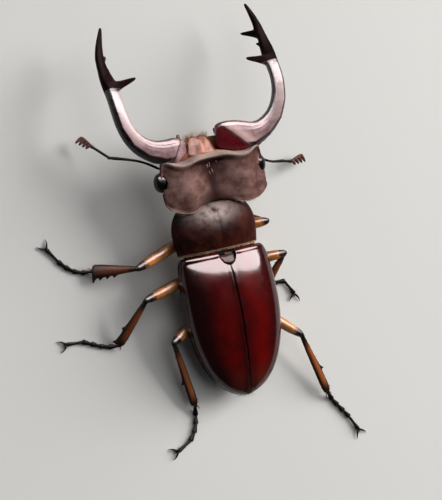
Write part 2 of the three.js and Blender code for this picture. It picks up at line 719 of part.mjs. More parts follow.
const beetle = new THREE.Group();
beetle.add(trunk);

function add(parent, name, shape, material) {
  const { numProp, vertProperties, triVerts } = shape.getMesh();
  const geometry = new THREE.BufferGeometry();
  const position = new Float32Array((vertProperties.length / numProp) * 3);
  for (let i = 0; i < position.length / 3; i += 1) {
    position.set(vertProperties.subarray(i * numProp, i * numProp + 3), i * 3);
  }
  geometry.setAttribute("position", new THREE.BufferAttribute(position, 3));
  geometry.setIndex(new THREE.BufferAttribute(Uint32Array.from(triVerts), 1));
  geometry.computeVertexNormals();
  const mesh = new THREE.Mesh(geometry, material);
  mesh.name = name;
  parent.add(mesh);
}

const mirrorX = (shape) => shape.mirror([1, 0, 0]);
const sideName = (side) => (side < 0 ? "left" : "right");

// trunk
const legSolids = legs.map(legPieces);
const recesses = (pair) => legSolids.filter((leg) => leg.pair === pair).map((leg) => leg.recess);
const coxa = (pair, side, grow) => ball(hipCentre(pair, side), hips[pair].radii, { grow });
const sockets = (pair) => [coxa(pair, -1, jointGap), coxa(pair, 1, jointGap), ...recesses(pair)];
const rightElytron = cut(elytron(), scutellum(jointGap));
add(trunk, "elytron_right", rightElytron, finish.elytra);
add(trunk, "elytron_left", mirrorX(rightElytron), finish.elytra);
add(trunk, "scutellum", scutellum(), finish.darkShell);
add(prothorax, "pronotum", pronotum(), finish.darkShell);
const underPlate = prosternum().translate([prothoraxShift, 0, 0]);
add(trunk, "prosternum", cut(underPlate, ...sockets("front")), finish.darkShell);
const thoraxPinch = (share) => [1 - 0.12 * (1 - smooth(share / 0.12)), 1];
const thorax = trunkSection(0.2, thoraxLength, 5, thoraxPinch);
const thoraxRoom = [...sockets("middle"), ...sockets("hind"), scutellum(jointGap)];
add(trunk, "thorax", cut(thorax, ...thoraxRoom), finish.darkShell);
const ringPinch = (share) => [1, 1 - 0.07 * bump(((share * 5) % 1) / 0.3)];
const abdomen = trunkSection(thoraxLength + 0.3, elytraLength - 1.1, 15, ringPinch);
add(trunk, "abdomen", cut(abdomen, ...sockets("hind")), finish.darkShell);
for (const pair of Object.keys(hips)) {
  for (const side of [-1, 1]) {
    const hipBall = cut(coxa(pair, side, 0), ...recesses(pair));
    add(trunk, `coxa_${pair}_${sideName(side)}`, hipBall, finish.blackLeg);
  }
}

// head
const skull = new THREE.Group();
const nape = V(0, headNape, 10.8);
skull.rotation.x = headTilt;
skull.position.copy(nape).sub(nape.clone().applyEuler(skull.rotation)).add(V(headShift, 0, -headDrop));
beetle.add(skull);
const rightMandible = cut(mandible(), head(jointGap));
add(skull, "mandible_right", rightMandible, finish.mandible);
add(skull, "mandible_left", mirrorX(rightMandible), finish.mandible);
const eyeHoles = [-1, 1].map((side) => ball(eyeCentre(side), eyeRadii, { grow: jointGap }));
prothorax.updateMatrixWorld(true);
skull.updateMatrixWorld(true);
const skullPlace = skull.matrixWorld.toArray();
const intoSkull = skull.matrixWorld.clone().invert();
const napeRoom = pronotum(jointGap).transform(intoSkull.multiply(prothorax.matrixWorld).toArray());
add(skull, "head", cut(head(), ...eyeHoles, napeRoom), finish.headShell);
add(skull, "upper_lip", upperLip(), finish.amber);
for (const side of [-1, 1]) {
  add(skull, `eye_${sideName(side)}`, ball(eyeCentre(side), eyeRadii), finish.eye);
  add(skull, `palp_${sideName(side)}`, cut(palp(side), head(jointGap)), finish.amber);
}
const headRoom = [head(jointGap), ...eyeHoles].map((shape) => shape.transform(skullPlace));
for (const antenna of antennae) {
  for (const [piece, shape] of Object.entries(antennaPieces(antenna))) {
    add(beetle, `antenna_${sideName(antenna.side)}_${piece}`, cut(shape, ...headRoom), finish.blackLeg);
  }
}

// legs
for (const { pair, side, pieces } of legSolids) {
  for (const [piece, shape] of Object.entries(pieces)) {
    const tint = piece === "femur" ? finish.amber : finish.blackLeg;
    add(beetle, `${piece}_${pair}_${sideName(side)}`, shape, tint);
  }
}

// Origin at the middle of the floor below the beetle.
const bounds = new THREE.Box3().setFromObject(beetle, true);
const middle = bounds.getCenter(V(0, 0, 0));
beetle.position.set(-middle.x, -middle.y, -bounds.min.z);
beetle.updateMatrixWorld(true);

export default beetle;
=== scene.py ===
import math
import random

import bpy
from mathutils import Matrix, Vector


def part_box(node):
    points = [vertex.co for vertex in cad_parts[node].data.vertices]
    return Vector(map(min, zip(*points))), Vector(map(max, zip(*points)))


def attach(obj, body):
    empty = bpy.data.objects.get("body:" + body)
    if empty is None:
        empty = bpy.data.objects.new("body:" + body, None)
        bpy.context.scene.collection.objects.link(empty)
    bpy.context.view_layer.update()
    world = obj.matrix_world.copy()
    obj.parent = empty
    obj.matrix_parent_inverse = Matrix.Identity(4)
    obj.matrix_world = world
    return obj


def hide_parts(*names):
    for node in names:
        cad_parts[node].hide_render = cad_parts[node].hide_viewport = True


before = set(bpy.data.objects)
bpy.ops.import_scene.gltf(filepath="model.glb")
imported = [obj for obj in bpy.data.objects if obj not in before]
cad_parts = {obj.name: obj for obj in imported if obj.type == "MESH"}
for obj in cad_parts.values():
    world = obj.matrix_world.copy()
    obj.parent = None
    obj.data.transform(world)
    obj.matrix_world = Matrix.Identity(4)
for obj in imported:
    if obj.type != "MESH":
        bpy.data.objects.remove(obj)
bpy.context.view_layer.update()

# ---- underside: prothorax plate, thorax and abdomen ------------------------------------------------
# The belly is three hard shells of dark chestnut chitin. The thorax carries the middle and hind legs
# and has a furrow down its middle; the abdomen is five overlapping rings that can slide a little.

mm = 0.001


def let_go():
    """Leaves edit mode with nothing selected."""
    if bpy.context.object and bpy.context.object.mode != "OBJECT":
        bpy.ops.object.mode_set(mode="OBJECT")
    bpy.ops.object.select_all(action="DESELECT")


def take_up(*pieces):
    """Selects these pieces and makes the first one active."""
    let_go()
    for piece in pieces:
        piece.select_set(True)
    bpy.context.view_layer.objects.active = pieces[0]


def open_mesh(action="SELECT"):
    """Takes the active piece into edit mode, with its whole mesh selected by default."""
    bpy.ops.object.mode_set(mode="EDIT")
    bpy.ops.mesh.select_all(action=action)


def put(name, data):
    """Adds an object that shows this mesh, lamp or camera."""
    placed = bpy.data.objects.new(name, data)
    bpy.context.collection.objects.link(placed)
    return placed


def work(piece, kind, **settings):
    """Finishes a piece with one modifier, applied at once."""
    take_up(piece)
    step = piece.modifiers.new(kind.title(), kind)
    for name, value in settings.items():
        setattr(step, name, value)
    bpy.ops.object.modifier_apply(modifier=step.name)


def rounded(piece, levels):
    """Subdivides a piece smoothly."""
    work(piece, "SUBSURF", levels=levels, render_levels=levels)


def swollen(piece, fuller):
    """Moves a piece's whole surface out, by millimetres."""
    work(piece, "DISPLACE", strength=fuller * mm, mid_level=0.0)


def softened(piece, rounds):
    """Evens out a piece's surface."""
    work(piece, "SMOOTH", factor=0.5, iterations=rounds)


def cast_of(node, name):
    """A merged copy of a solid, with its triangles paired back into four-sided faces."""
    piece = put(name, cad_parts[node].data.copy())
    piece.data.materials.clear()
    take_up(piece)
    open_mesh()
    bpy.ops.mesh.customdata_custom_splitnormals_clear()
    bpy.ops.mesh.remove_doubles(threshold=0.002 * mm)
    bpy.ops.mesh.tris_convert_to_quads(face_threshold=math.radians(50), shape_threshold=math.radians(70))
    let_go()
    return piece


def grown_skin(node, name, grain, rounds, fuller=0.0):
    """A cast of a solid grown over with an even skin, its grain in millimetres, and softened."""
    piece = cast_of(node, name)
    rounded(piece, 1)
    work(piece, "REMESH", mode="VOXEL", voxel_size=grain * mm)
    if fuller:
        swollen(piece, fuller)
    softened(piece, rounds)
    return piece


def shape_by(piece, move):
    """Moves each point of a piece by what move(place, normal) returns."""
    shifts = [move(point.co.copy(), point.normal.copy()) for point in piece.data.vertices]
    for point, shift in zip(piece.data.vertices, shifts):
        point.co += shift
    piece.data.update()


def fit_out(piece, material, slot, *nodes):
    """Gives a finished piece its material, smooth faces, body and the solids it stands for."""
    take_up(piece)
    bpy.ops.object.shade_smooth()
    piece.data.materials.clear()
    piece.data.materials.append(material)
    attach(piece, "root")
    if nodes:
        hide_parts(*nodes)


def bell(share):
    """1 at 0, falling smoothly to 0 on both sides."""
    return math.exp(-share * share)


def feed(tree, node, **sockets):
    """Gives each named socket of a node a number, a colour or another node's output."""
    for name, value in sockets.items():
        socket = node.inputs[int(name[1:]) if name[0] == "_" else name.replace("_", " ")]
        if isinstance(value, bpy.types.NodeSocket):
            tree.links.new(value, socket)
        else:
            socket.default_value = (*value, 1) if socket.type == "RGBA" else value


def wire(tree, kind, settings=None, **sockets):
    """Adds a node and feeds it."""
    made = tree.nodes.new(kind)
    for name, value in (settings or {}).items():
        setattr(made, name, value)
    feed(tree, made, **sockets)
    return made


def mixed(tree, share, first, second):
    """Colour between first and second, by share."""
    return wire(tree, "ShaderNodeMix", {"data_type": "RGBA"}, _0=share, _6=first, _7=second).outputs[2]


def cloud(tree, place, size, detail=4.0, rough=0.55):
    """Soft uneven pattern whose lumps are about size across."""
    sockets = {"Vector": place, "Scale": 1 / size, "Detail": detail, "Roughness": rough}
    return wire(tree, "ShaderNodeTexNoise", **sockets).outputs["Fac"]


def between(tree, value, low, high, to_low=0.0, to_high=1.0):
    """Rescales a pattern from low..high to to_low..to_high, smoothly and clamped."""
    sockets = {"Value": value, "From_Min": low, "From_Max": high, "To_Min": to_low, "To_Max": to_high}
    made = wire(tree, "ShaderNodeMapRange", {"interpolation_type": "SMOOTHSTEP"}, **sockets)
    return made.outputs["Result"]


def times(tree, first, second, operation="MULTIPLY"):
    """Two patterns or numbers, multiplied unless told otherwise."""
    return wire(tree, "ShaderNodeMath", {"operation": operation}, _0=first, _1=second).outputs[0]


def on_piece(tree):
    """The place on the piece, as a pattern's coordinates."""
    return wire(tree, "ShaderNodeTexCoord").outputs["Object"]


def shell(
    name, dark, light, gloss, pits, lumps=0.9, coat=0.0, down=0.0, down_tint=(1, 1, 1), bend=1.5, colours=None
):
    """Chitin: two tones in soft patches, fine pits and wrinkles, and gloss that varies a little.
    The pits' size and depth and the lumps are in millimetres. The refractive index, bend, is low for
    skins whose pits and down break up the gloss. colours(tree, tones) paints over the two tones."""
    material = bpy.data.materials.new(name)
    material.use_nodes = True
    tree = material.node_tree
    place = on_piece(tree)
    lump = lumps * mm
    pit_size, pit_depth = (measure * mm for measure in pits)
    patches = between(tree, cloud(tree, place, lump * 3, 5.0, 0.6), 0.32, 0.68)
    colour = mixed(tree, patches, dark, light)
    speck = between(tree, cloud(tree, place, lump * 0.22, 3.0, 0.7), 0.45, 0.75)
    colour = mixed(tree, times(tree, speck, 0.35), colour, dark)
    if colours:
        colour = colours(tree, colour)
    cells = wire(tree, "ShaderNodeTexVoronoi", {"feature": "F1"}, Vector=place, Scale=1 / pit_size)
    pit = between(tree, cells.outputs["Distance"], 0.0, 0.42)
    pitted = wire(tree, "ShaderNodeBump", Height=pit, Distance=pit_depth, Strength=0.7).outputs["Normal"]
    wrinkle = cloud(tree, place, lump * 0.35, 6.0, 0.65)
    sockets = {"Height": wrinkle, "Distance": pit_depth * 0.8, "Strength": 0.5, "Normal": pitted}
    relief = wire(tree, "ShaderNodeBump", **sockets).outputs["Normal"]
    wear = between(tree, cloud(tree, place, lump * 1.6, 4.0, 0.6), 0.3, 0.7, *gloss)
    feed(
        tree, tree.nodes["Principled BSDF"], Base_Color=colour, Normal=relief, Roughness=wear, IOR=bend,
        Coat_Weight=coat, Coat_Roughness=0.07, Sheen_Weight=down, Sheen_Roughness=0.45, Sheen_Tint=down_tint,
    )
    return material


middle_x = (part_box("elytron_left")[1].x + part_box("elytron_right")[0].x) / 2
joint_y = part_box("pronotum")[0].y  # where prothorax and wing cases meet
margin_height = 6.9 * mm  # of the shell's side margins above the floor, at that joint
trunk_pitch = math.radians(5)
trunk_origin = Vector((middle_x, joint_y, margin_height))


def in_trunk(place):
    """A place in millimetres of the trunk: x from its middle, y from the joint, z from the margins."""
    return Matrix.Rotation(-trunk_pitch, 3, "X") @ (Vector(place) - trunk_origin) / mm


belly_shell = shell(
    "belly_shell", (0.012, 0.004, 0.003), (0.05, 0.016, 0.009), (0.3, 0.5), (0.22, 0.03),
    down=0.15, down_tint=(1.0, 0.75, 0.45),
)
ring_length = 2.75
ring_furrow = 0.16  # depth between two rings of the abdomen
middle_furrow = 0.2  # depth and width along the thorax
thorax_rear = 13.4  # behind the joint, as are the next two
first_ring = 14.0
furrows_from = 15.0  # past the first ring's own front edge


def belly_furrows(place, normal):
    """Cuts the furrows between the abdomen's rings, and the one down the thorax."""
    side, ahead, height = in_trunk(place)
    if height > -1.2:
        return Vector()
    back = -ahead
    depth = 0.0
    if back > furrows_from:
        ring = ((back - first_ring) % ring_length) / ring_length
        depth += ring_furrow * bell(min(ring, 1 - ring) / 0.06)
    if back < thorax_rear:
        depth += middle_furrow * bell(side / middle_furrow)
    return normal * -depth * mm


for node in ("prosternum", "thorax", "abdomen"):
    belly_plate = grown_skin(node, node + "_shell", 0.2, 6)
    shape_by(belly_plate, belly_furrows)
    softened(belly_plate, 1)
    fit_out(belly_plate, belly_shell, "dark_shell", node)

# ---- legs: hips, femora, tibiae and their joints ----------------------------------------------------
# Each leg is a chain of hard tubes. The hip is a smooth spindle set in the belly, the femur an
# amber-coloured, slightly flattened spindle with black ends, and the tibia a thin bar that broadens
# to its toothed end. They turn on small black condyles.

prothorax_shift = -0.6
hip_places = {"front": (3.5, 3.6), "middle": (3.7, -3.9), "hind": (4.6, -12.0)}
hip_height = -4.25
tibia_lengths = {"front": 9.1, "middle": 10.7, "hind": 13.8}
ankle_height = 1.4
sides = {"left": -1, "right": 1}
# femur length and heading, knee height, tibia heading, and the tarsus's heading at root, middle and end
stances = {
    ("front", "left"): (13.4, 108, 5.6, 80, (94, 46, 28)),
    ("front", "right"): (8.7, 92, 6.2, -64, (-10, -15, -20)),
    ("middle", "left"): (13.9, 103, 6.4, 142, (92, 62, 100)),
    ("middle", "right"): (10.2, 89, 6.2, 216, (56, 80, 190)),
    ("hind", "left"): (9.5, 119, 4.7, 191, (186, 150, 100)),
    ("hind", "right"): (12.8, 134, 4.5, 162, (151, 146, 160)),
}


def out_of_trunk(place):
    """The place in the frame of one given in millimetres of the trunk."""
    return Matrix.Rotation(trunk_pitch, 3, "X") @ (Vector(place) * mm) + trunk_origin


def heading(side, degrees):
    """Level direction, turned outwards from straight ahead."""
    turn = math.radians(degrees)
    return Vector((side * math.sin(turn), math.cos(turn), 0))


def leg_joints(pair, side_name):
    """Hip, knee and ankle of a leg, in the frame."""
    side = sides[side_name]
    femur, femur_to, knee_height, tibia_to = stances[(pair, side_name)][:4]
    x, y = hip_places[pair]
    hip = out_of_trunk((side * (x + 0.4) + (prothorax_shift if pair == "front" else 0), y, hip_height))
    rise = knee_height * mm - hip.z
    knee = hip + heading(side, femur_to) * math.sqrt((femur * mm) ** 2 - rise**2) + Vector((0, 0, rise))
    drop = (knee_height - ankle_height) * mm
    reach = math.sqrt((tibia_lengths[pair] * mm) ** 2 - drop**2)
    ankle = knee + heading(side, tibia_to) * reach - Vector((0, 0, drop))
    return hip, knee, ankle


def share_along(start, end):
    """Function giving a place's share of the way from start to end."""
    way = end - start
    return lambda place, normal: (place - start).dot(way) / way.length_squared


def rim_of(start, end, broad):
    """Function giving how far a place lies out towards the two side edges of a bar, 0 to 1."""
    across = (end - start).cross(Vector((0, 0, 1))).normalized()
    return lambda place, normal: abs((place - start).dot(across)) / broad


def drawn_rod(name, edges, stations):
    """A closed rod with so many edges, drawn out along +Z through (y, z, radius) stations in millimetres."""
    places = [Vector((0, y, z)) * mm for y, z, radius in stations]
    radii = [radius * mm for y, z, radius in stations]
    let_go()
    bpy.ops.mesh.primitive_circle_add(vertices=edges, radius=radii[0], fill_type="NGON", location=places[0])
    rod = bpy.context.object
    rod.name = name
    bpy.ops.object.transform_apply()
    open_mesh()
    for k in range(1, len(places)):
        bpy.ops.mesh.extrude_region_move(TRANSFORM_OT_translate={"value": places[k] - places[k - 1]})
        bpy.ops.transform.resize(value=(radii[k] / radii[k - 1],) * 3, center_override=places[k])
    bpy.ops.mesh.select_all(action="SELECT")
    bpy.ops.mesh.normals_make_consistent(inside=False)
    let_go()
    return rod


def laid(pattern, name, start, end, top=(0, 0, 1), broad=1.0):
    """A copy of a rod drawn 1 mm along +Z, laid from start to end with its +Y side towards top."""
    copy = put(name, pattern.data.copy())
    way = end - start
    along = way.normalized()
    across = Vector(top).cross(along).normalized()
    above = along.cross(across)
    lay = Matrix((across * broad, above * broad, along * way.length / mm)).transposed().to_4x4()
    copy.data.transform(Matrix.Translation(start) @ lay)
    return copy


def joined(name, pieces):
    """Makes one piece of several."""
    take_up(*pieces)
    bpy.ops.object.join()
    pieces[0].name = name
    return pieces[0]


def plant(name, pattern, roots, material, slot):
    """Copies one hair or spine to every (root, direction, lie, length) and joins them to one mesh.
    Each copy's colours bake to a small patch at its root's place on a flat layout of the skin."""
    patch = 0.003  # side of one copy's place on the layout
    margin = 0.01
    lows = [min(root[axis] for root, *rest in roots) for axis in range(3)]
    spans = [max(root[axis] for root, *rest in roots) - lows[axis] + 0.1 * mm for axis in range(3)]
    corners, faces, patches = [], [], []
    faces_of_one = [list(face.vertices) for face in pattern.data.polygons]
    for root, direction, lie, length in roots:
        out = direction.normalized()
        across = Vector(lie).cross(out).normalized()
        lay = Matrix((across, out.cross(across), out * length)).transposed()
        first = len(corners)
        for point in pattern.data.vertices:
            corners.append(root + lay @ point.co)
            along_patch = point.co.z / mm
            across_patch = 0.5 + 0.4 * math.copysign(1, point.co.x)
            flat_x = (root.x - lows[0]) / spans[0] * 0.96 + (root.z - lows[2]) / spans[2] * 0.02
            flat_y = (root.y - lows[1]) / spans[1] * 0.97
            patches.append((margin + flat_x + patch * across_patch, margin + flat_y + patch * along_patch))
        faces += [[first + corner for corner in face] for face in faces_of_one]
    mesh = bpy.data.meshes.new(name)
    mesh.from_pydata(corners, [], faces)
    layout = mesh.uv_layers.new(name="OFBake")
    for loop in mesh.loops:
        layout.data[loop.index].uv = patches[loop.vertex_index]
    fit_out(put(name, mesh), material, slot)


def carried(tree, name):
    """A value that the piece carries at each of its points."""
    return wire(tree, "ShaderNodeAttribute", {"attribute_name": name}).outputs["Fac"]


def carry(piece, **values):
    """Stores at each point of a piece what each named function makes of its place and normal."""
    for name, value_at in values.items():
        store = piece.data.attributes.new(name, "FLOAT", "POINT")
        for point in piece.data.vertices:
            store.data[point.index].value = value_at(point.co, point.normal)


def femur_colours(tree, amber):
    """Black at both ends and along the two edges, amber on the faces."""
    ragged = between(tree, cloud(tree, on_piece(tree), 0.7 * mm), 0.3, 0.7, -0.03, 0.03)
    along = times(tree, carried(tree, "along"), ragged, "ADD")
    knee = between(tree, along, 0.84, 0.92)
    root = between(tree, along, 0.2, 0.08)
    rim = between(tree, carried(tree, "rim"), 0.95, 1.3)
    black = times(tree, times(tree, knee, root, "MAXIMUM"), rim, "MAXIMUM")
    return mixed(tree, black, amber, (0.01, 0.0035, 0.003))


def tibia_colours(tree, black):
    """Reddish where the bar is thinnest, black at the knee and at the toothed end."""
    along = carried(tree, "along")
    red = times(tree, between(tree, along, 0.1, 0.3), between(tree, along, 0.97, 0.75))
    rim = between(tree, carried(tree, "rim"), 0.9, 0.4)
    warmth = times(tree, times(tree, red, rim), carried(tree, "warmth"))
    return mixed(tree, warmth, black, (0.23, 0.065, 0.018))


hip_shell = shell("hip_shell", (0.014, 0.004, 0.003), (0.06, 0.018, 0.01), (0.22, 0.4), (0.2, 0.02))
femur_shell = shell(
    "femur_shell", (0.3, 0.1, 0.022), (0.5, 0.21, 0.06), (0.22, 0.36), (0.18, 0.012), bend=1.4,
    colours=femur_colours,
)
tibia_shell = shell(
    "tibia_shell", (0.005, 0.002, 0.0015), (0.02, 0.007, 0.003), (0.35, 0.5), (0.2, 0.03), bend=1.16,
    colours=tibia_colours,
)
joint_shell = shell(
    "joint_shell", (0.003, 0.0015, 0.0015), (0.01, 0.004, 0.003), (0.25, 0.4), (0.12, 0.015), bend=1.18
)
bristle_horn = shell("bristle_horn", (0.02, 0.007, 0.003), (0.09, 0.035, 0.012), (0.35, 0.5), (0.1, 0.005))

condyle_pattern = drawn_rod(
    "condyle_pattern", 14,
    [(0, 0, 0.2), (0, 0.1, 0.38), (0, 0.3, 0.5), (0, 0.46, 0.44), (0, 0.54, 0.44), (0, 0.7, 0.5),
     (0, 0.9, 0.38), (0, 1.0, 0.2)],
)
rounded(condyle_pattern, 1)
spine_pattern = drawn_rod(
    "spine_pattern", 5, [(0, 0, 0.16), (0.02, 0.4, 0.12), (0.07, 0.75, 0.07), (0.14, 1, 0.015)]
)
femur_girth = {"front": 1.15, "middle": 1.05, "hind": 1.05}
tibia_ends = {"front": 1.55, "middle": 1.0, "hind": 0.95}
tibia_warmth = {"front": 0.4, "middle": 0.55, "hind": 1.0}
femur_fuller = 0.36  # makes up for what the smoothing takes off
spine_count = 26
spur_length = 1.2
luck = random.Random(7)
for pair, side_name in stances:
    hip, knee, ankle = leg_joints(pair, side_name)
    leg_name = pair + "_" + side_name

    hip_piece = grown_skin("coxa_" + leg_name, "hip_" + leg_name, 0.14, 5, fuller=0.05)
    fit_out(hip_piece, hip_shell, "black_leg", "coxa_" + leg_name)

    femur_piece = cast_of("femur_" + leg_name, "thigh_" + leg_name)
    rounded(femur_piece, 3)
    swollen(femur_piece, femur_fuller)
    carry(femur_piece, along=share_along(hip, knee), rim=rim_of(hip, knee, femur_girth[pair] * 0.8 * mm))
    fit_out(femur_piece, femur_shell, "amber_leg", "femur_" + leg_name)

    tibia_piece = grown_skin("tibia_" + leg_name, "shin_" + leg_name, 0.085, 5, fuller=0.11)
    carry(
        tibia_piece, along=share_along(knee, ankle), rim=rim_of(knee, ankle, tibia_ends[pair] * 0.8 * mm),
        warmth=lambda place, normal: tibia_warmth[pair],
    )
    fit_out(tibia_piece, tibia_shell, "black_leg", "tibia_" + leg_name)

    down_femur = (knee - hip).normalized()
    down_tibia = (ankle - knee).normalized()
    condyles = []
    for joint, down, first, last, broad in (
        (knee, down_tibia, -0.45, 0.75, 1.15),
        (hip, down_femur, 0.6, 1.7, 1.4),
        (ankle, down_tibia, -0.3, 0.45, 0.85),
    ):
        ends = (joint + down * first * mm, joint + down * last * mm)
        condyles.append(laid(condyle_pattern, "condyle", *ends, broad=broad))
    fit_out(joined("condyles_" + leg_name, condyles), joint_shell, "black_leg")

    # Two spurs at the ankle, and spines along both edges of the tibia.
    across = down_tibia.cross(Vector((0, 0, 1))).normalized()
    spines = []
    for turn in (-1, 1):
        spur_root = ankle + across * 0.35 * turn * mm
        spines.append((spur_root, down_tibia + across * 0.35 * turn, (0, 0, -1), spur_length))
    for k in range(spine_count):
        share = 0.2 + 0.75 * k / spine_count
        edge = across * (0.5 + (tibia_ends[pair] - 0.5) * share**1.4) * luck.uniform(0.5, 0.85) * mm
        outward = across * luck.choice((-1, 1))
        root = knee.lerp(ankle, share) + edge * outward.dot(across)
        spines.append((root, down_tibia * 1.3 + outward, outward, luck.uniform(0.3, 0.5)))
    plant("spines_" + leg_name, spine_pattern, spines, bristle_horn, "black_leg")

# ---- tarsi and claws --------------------------------------------------------------------------------
# A tarsus is a string of four short trumpet-shaped joints and a long last one that carries a pair of
# curved claws and a small bristle pad. All of it is black, and each joint ends in a fork of bristles.

toe_lengths = [1.9, 1.8, 1.8, 1.8, 3.4]
toe_height = 0.42
toe_reach = 0.985  # level share of a toe's length, as each slopes a little


def turn_at(share, turns):
    """Heading of the tarsus at a share of its length, on a smooth curve through its three headings."""
    first, middle, last = turns
    if share <= 0.5:
        start, goal, part = first, middle, share * 2
        slopes = (2 * (middle - first), last - first)
    else:
        start, goal, part = middle, last, share * 2 - 1
        slopes = (last - first, 2 * (last - middle))
    return (
        start * (1 + 2 * part) * (1 - part) ** 2
        + slopes[0] * 0.5 * part * (1 - part) ** 2
        + goal * part * part * (3 - 2 * part)
        + slopes[1] * 0.5 * part * part * (part - 1)
    )


def toe_joints(pair, side_name):
    """The places where a foot's joints begin and end, in the frame."""
    knee, ankle = leg_joints(pair, side_name)[1:]
    turns = stances[(pair, side_name)][4]
    toes = [ankle + (ankle - knee).normalized() * 0.1 * mm]
    done = 0
    for length in toe_lengths:
        turn = turn_at((done + length / 2) / sum(toe_lengths), turns)
        following = toes[-1] + heading(sides[side_name], turn) * length * toe_reach * mm
        following.z = toe_height * mm
        toes.append(following)
        done += length
    return toes


tarsus_shell = shell(
    "tarsus_shell", (0.002, 0.0012, 0.0012), (0.007, 0.003, 0.0025), (0.3, 0.45), (0.1, 0.012), bend=1.13
)
short_toe = drawn_rod(
    "short_toe", 10,
    [(0, -0.04, 0.12), (0, 0.05, 0.19), (0, 0.35, 0.22), (-0.01, 0.7, 0.31),
     (-0.03, 0.93, 0.37), (-0.03, 1.0, 0.33), (-0.02, 0.97, 0.2)],
)
long_toe = drawn_rod(
    "long_toe", 10,
    [(0, -0.02, 0.12), (0, 0.03, 0.18), (0.03, 0.35, 0.17), (0.05, 0.7, 0.21),
     (0.02, 0.93, 0.3), (0, 1.0, 0.24), (0, 0.985, 0.1)],
)
claw_pattern = drawn_rod(
    "claw_pattern", 8,
    [(0, 0, 0.2), (0.06, 0.2, 0.19), (0.1, 0.45, 0.15), (0.06, 0.7, 0.11),
     (-0.06, 0.9, 0.06), (-0.2, 1.04, 0.015)],
)
for toe_pattern in (short_toe, long_toe, claw_pattern):
    rounded(toe_pattern, 1)
hair_pattern = drawn_rod(
    "hair_pattern", 3, [(0, 0, 0.035), (0.05, 0.4, 0.028), (0.17, 0.75, 0.018), (0.34, 1, 0.005)]
)
toe_broad = 1.6
bristle_length = 0.55
claw_reach = 1.95
claw_spread = 42  # degrees to each side
claw_tip_height = 0.3
pad_length = 0.7


def on_the_floor(place, normal):
    """Flattens a foot's underside on the floor."""
    return Vector((0, 0, max(0.0, -place.z)))


for pair, side_name in stances:
    side = sides[side_name]
    toes = toe_joints(pair, side_name)
    leg_name = pair + "_" + side_name
    tarsus = []
    bristles = []
    for start, end in zip(toes, toes[1:]):
        pattern = long_toe if end is toes[-1] else short_toe
        tarsus.append(laid(pattern, "toe", start, end, broad=toe_broad))
        along = (end - start).normalized()
        across = along.cross(Vector((0, 0, 1))).normalized()
        for turn in (-1, -0.4, 0.4, 1):
            root = end - along * 0.14 * mm + across * 0.22 * turn * mm + Vector((0, 0, -0.1 * mm))
            way = along + across * 0.5 * turn - Vector((0, 0, 0.25))
            bristles.append((root, way, (0, 0, 1), bristle_length))
    foot = joined("foot_" + leg_name, tarsus)
    shape_by(foot, on_the_floor)
    fit_out(foot, tarsus_shell, "black_leg", "tarsus_" + leg_name)
    plant("foot_bristles_" + leg_name, hair_pattern, bristles, bristle_horn, "black_leg")

    toe = toes[-1]
    last_turn = stances[(pair, side_name)][-1][-1]
    claws = []
    for spread in (-claw_spread, claw_spread):
        start = toe + heading(side, last_turn) * 0.02 * mm
        end = start + heading(side, last_turn + spread) * claw_reach * mm
        end.z = claw_tip_height * mm
        top = -heading(side, last_turn - spread * 1.2) * 0.8 + Vector((0, 0, 0.6))
        claws.append(laid(claw_pattern, "claw", start, end, top=top, broad=1.35))
    pad = laid(claw_pattern, "pad", toe, toe + heading(side, last_turn) * pad_length * mm, broad=0.55)
    fit_out(joined("claw_pair_" + leg_name, claws + [pad]), tarsus_shell, "black_leg", "claws_" + leg_name)

# ---- collar, pronotum and scutellum -----------------------------------------------------------------
# The pronotum is one broad arched plate, satin rather than glossy because of its very short down. A
# black collar of soft skin joins it to the wing cases, under a fringe of golden hairs on its rear
# edge. The scutellum is the small rounded triangle between the wing case bases.

let_go()
bpy.ops.mesh.primitive_cylinder_add(vertices=72, radius=1, depth=1, location=(0, 0, 0))
collar = bpy.context.object
collar.name = "collar"
open_mesh()
bpy.ops.mesh.subdivide(number_cuts=2)
bpy.ops.mesh.remove_doubles(threshold=0.0001)
let_go()

collar_half_width = 7.75
collar_length = 2.4
collar_rise = 2.95
collar_depth = 1.2


def collar_place(place, normal):
    """Turns the upright drum into a flat-bottomed hoop across the trunk, a little waisted at the joint."""
    waist = 1 - 0.03 * bell(place.z / 0.25)
    x = place.x * collar_half_width * waist + prothorax_shift / 2
    y = place.z * collar_length - 0.1
    z = place.y * (collar_rise if place.y > 0 else collar_depth) * waist
    return out_of_trunk((x, y, z)) - place


shape_by(collar, collar_place)
take_up(collar)
open_mesh()
bpy.ops.mesh.normals_make_consistent(inside=False)
let_go()
fit_out(collar, joint_shell, "dark_shell")

neck_place = (-0.2, 9.2, -0.2)
neck_radii = (4.4, 2.2, 1.9)
let_go()
bpy.ops.mesh.primitive_uv_sphere_add(segments=48, ring_count=24, radius=1 * mm, location=(0, 0, 0))
bpy.ops.transform.resize(value=neck_radii)
bpy.ops.transform.rotate(value=-trunk_pitch, orient_axis="X", center_override=(0, 0, 0))
bpy.ops.transform.translate(value=out_of_trunk(neck_place))
bpy.ops.object.transform_apply()
neck = bpy.context.object
neck.name = "neck"
fit_out(neck, joint_shell, "dark_shell")


def ramp(value, low, high):
    """0 below low, 1 above high, smooth between them."""
    share = min(1.0, max(0.0, (value - low) / (high - low)))
    return share * share * (3 - 2 * share)


# heights and depths of the pronotum's forms
furrow_depth = 0.1
dimple_depth = 0.16
rear_bead = 0.12
front_bead = 0.1
side_bead = 0.1


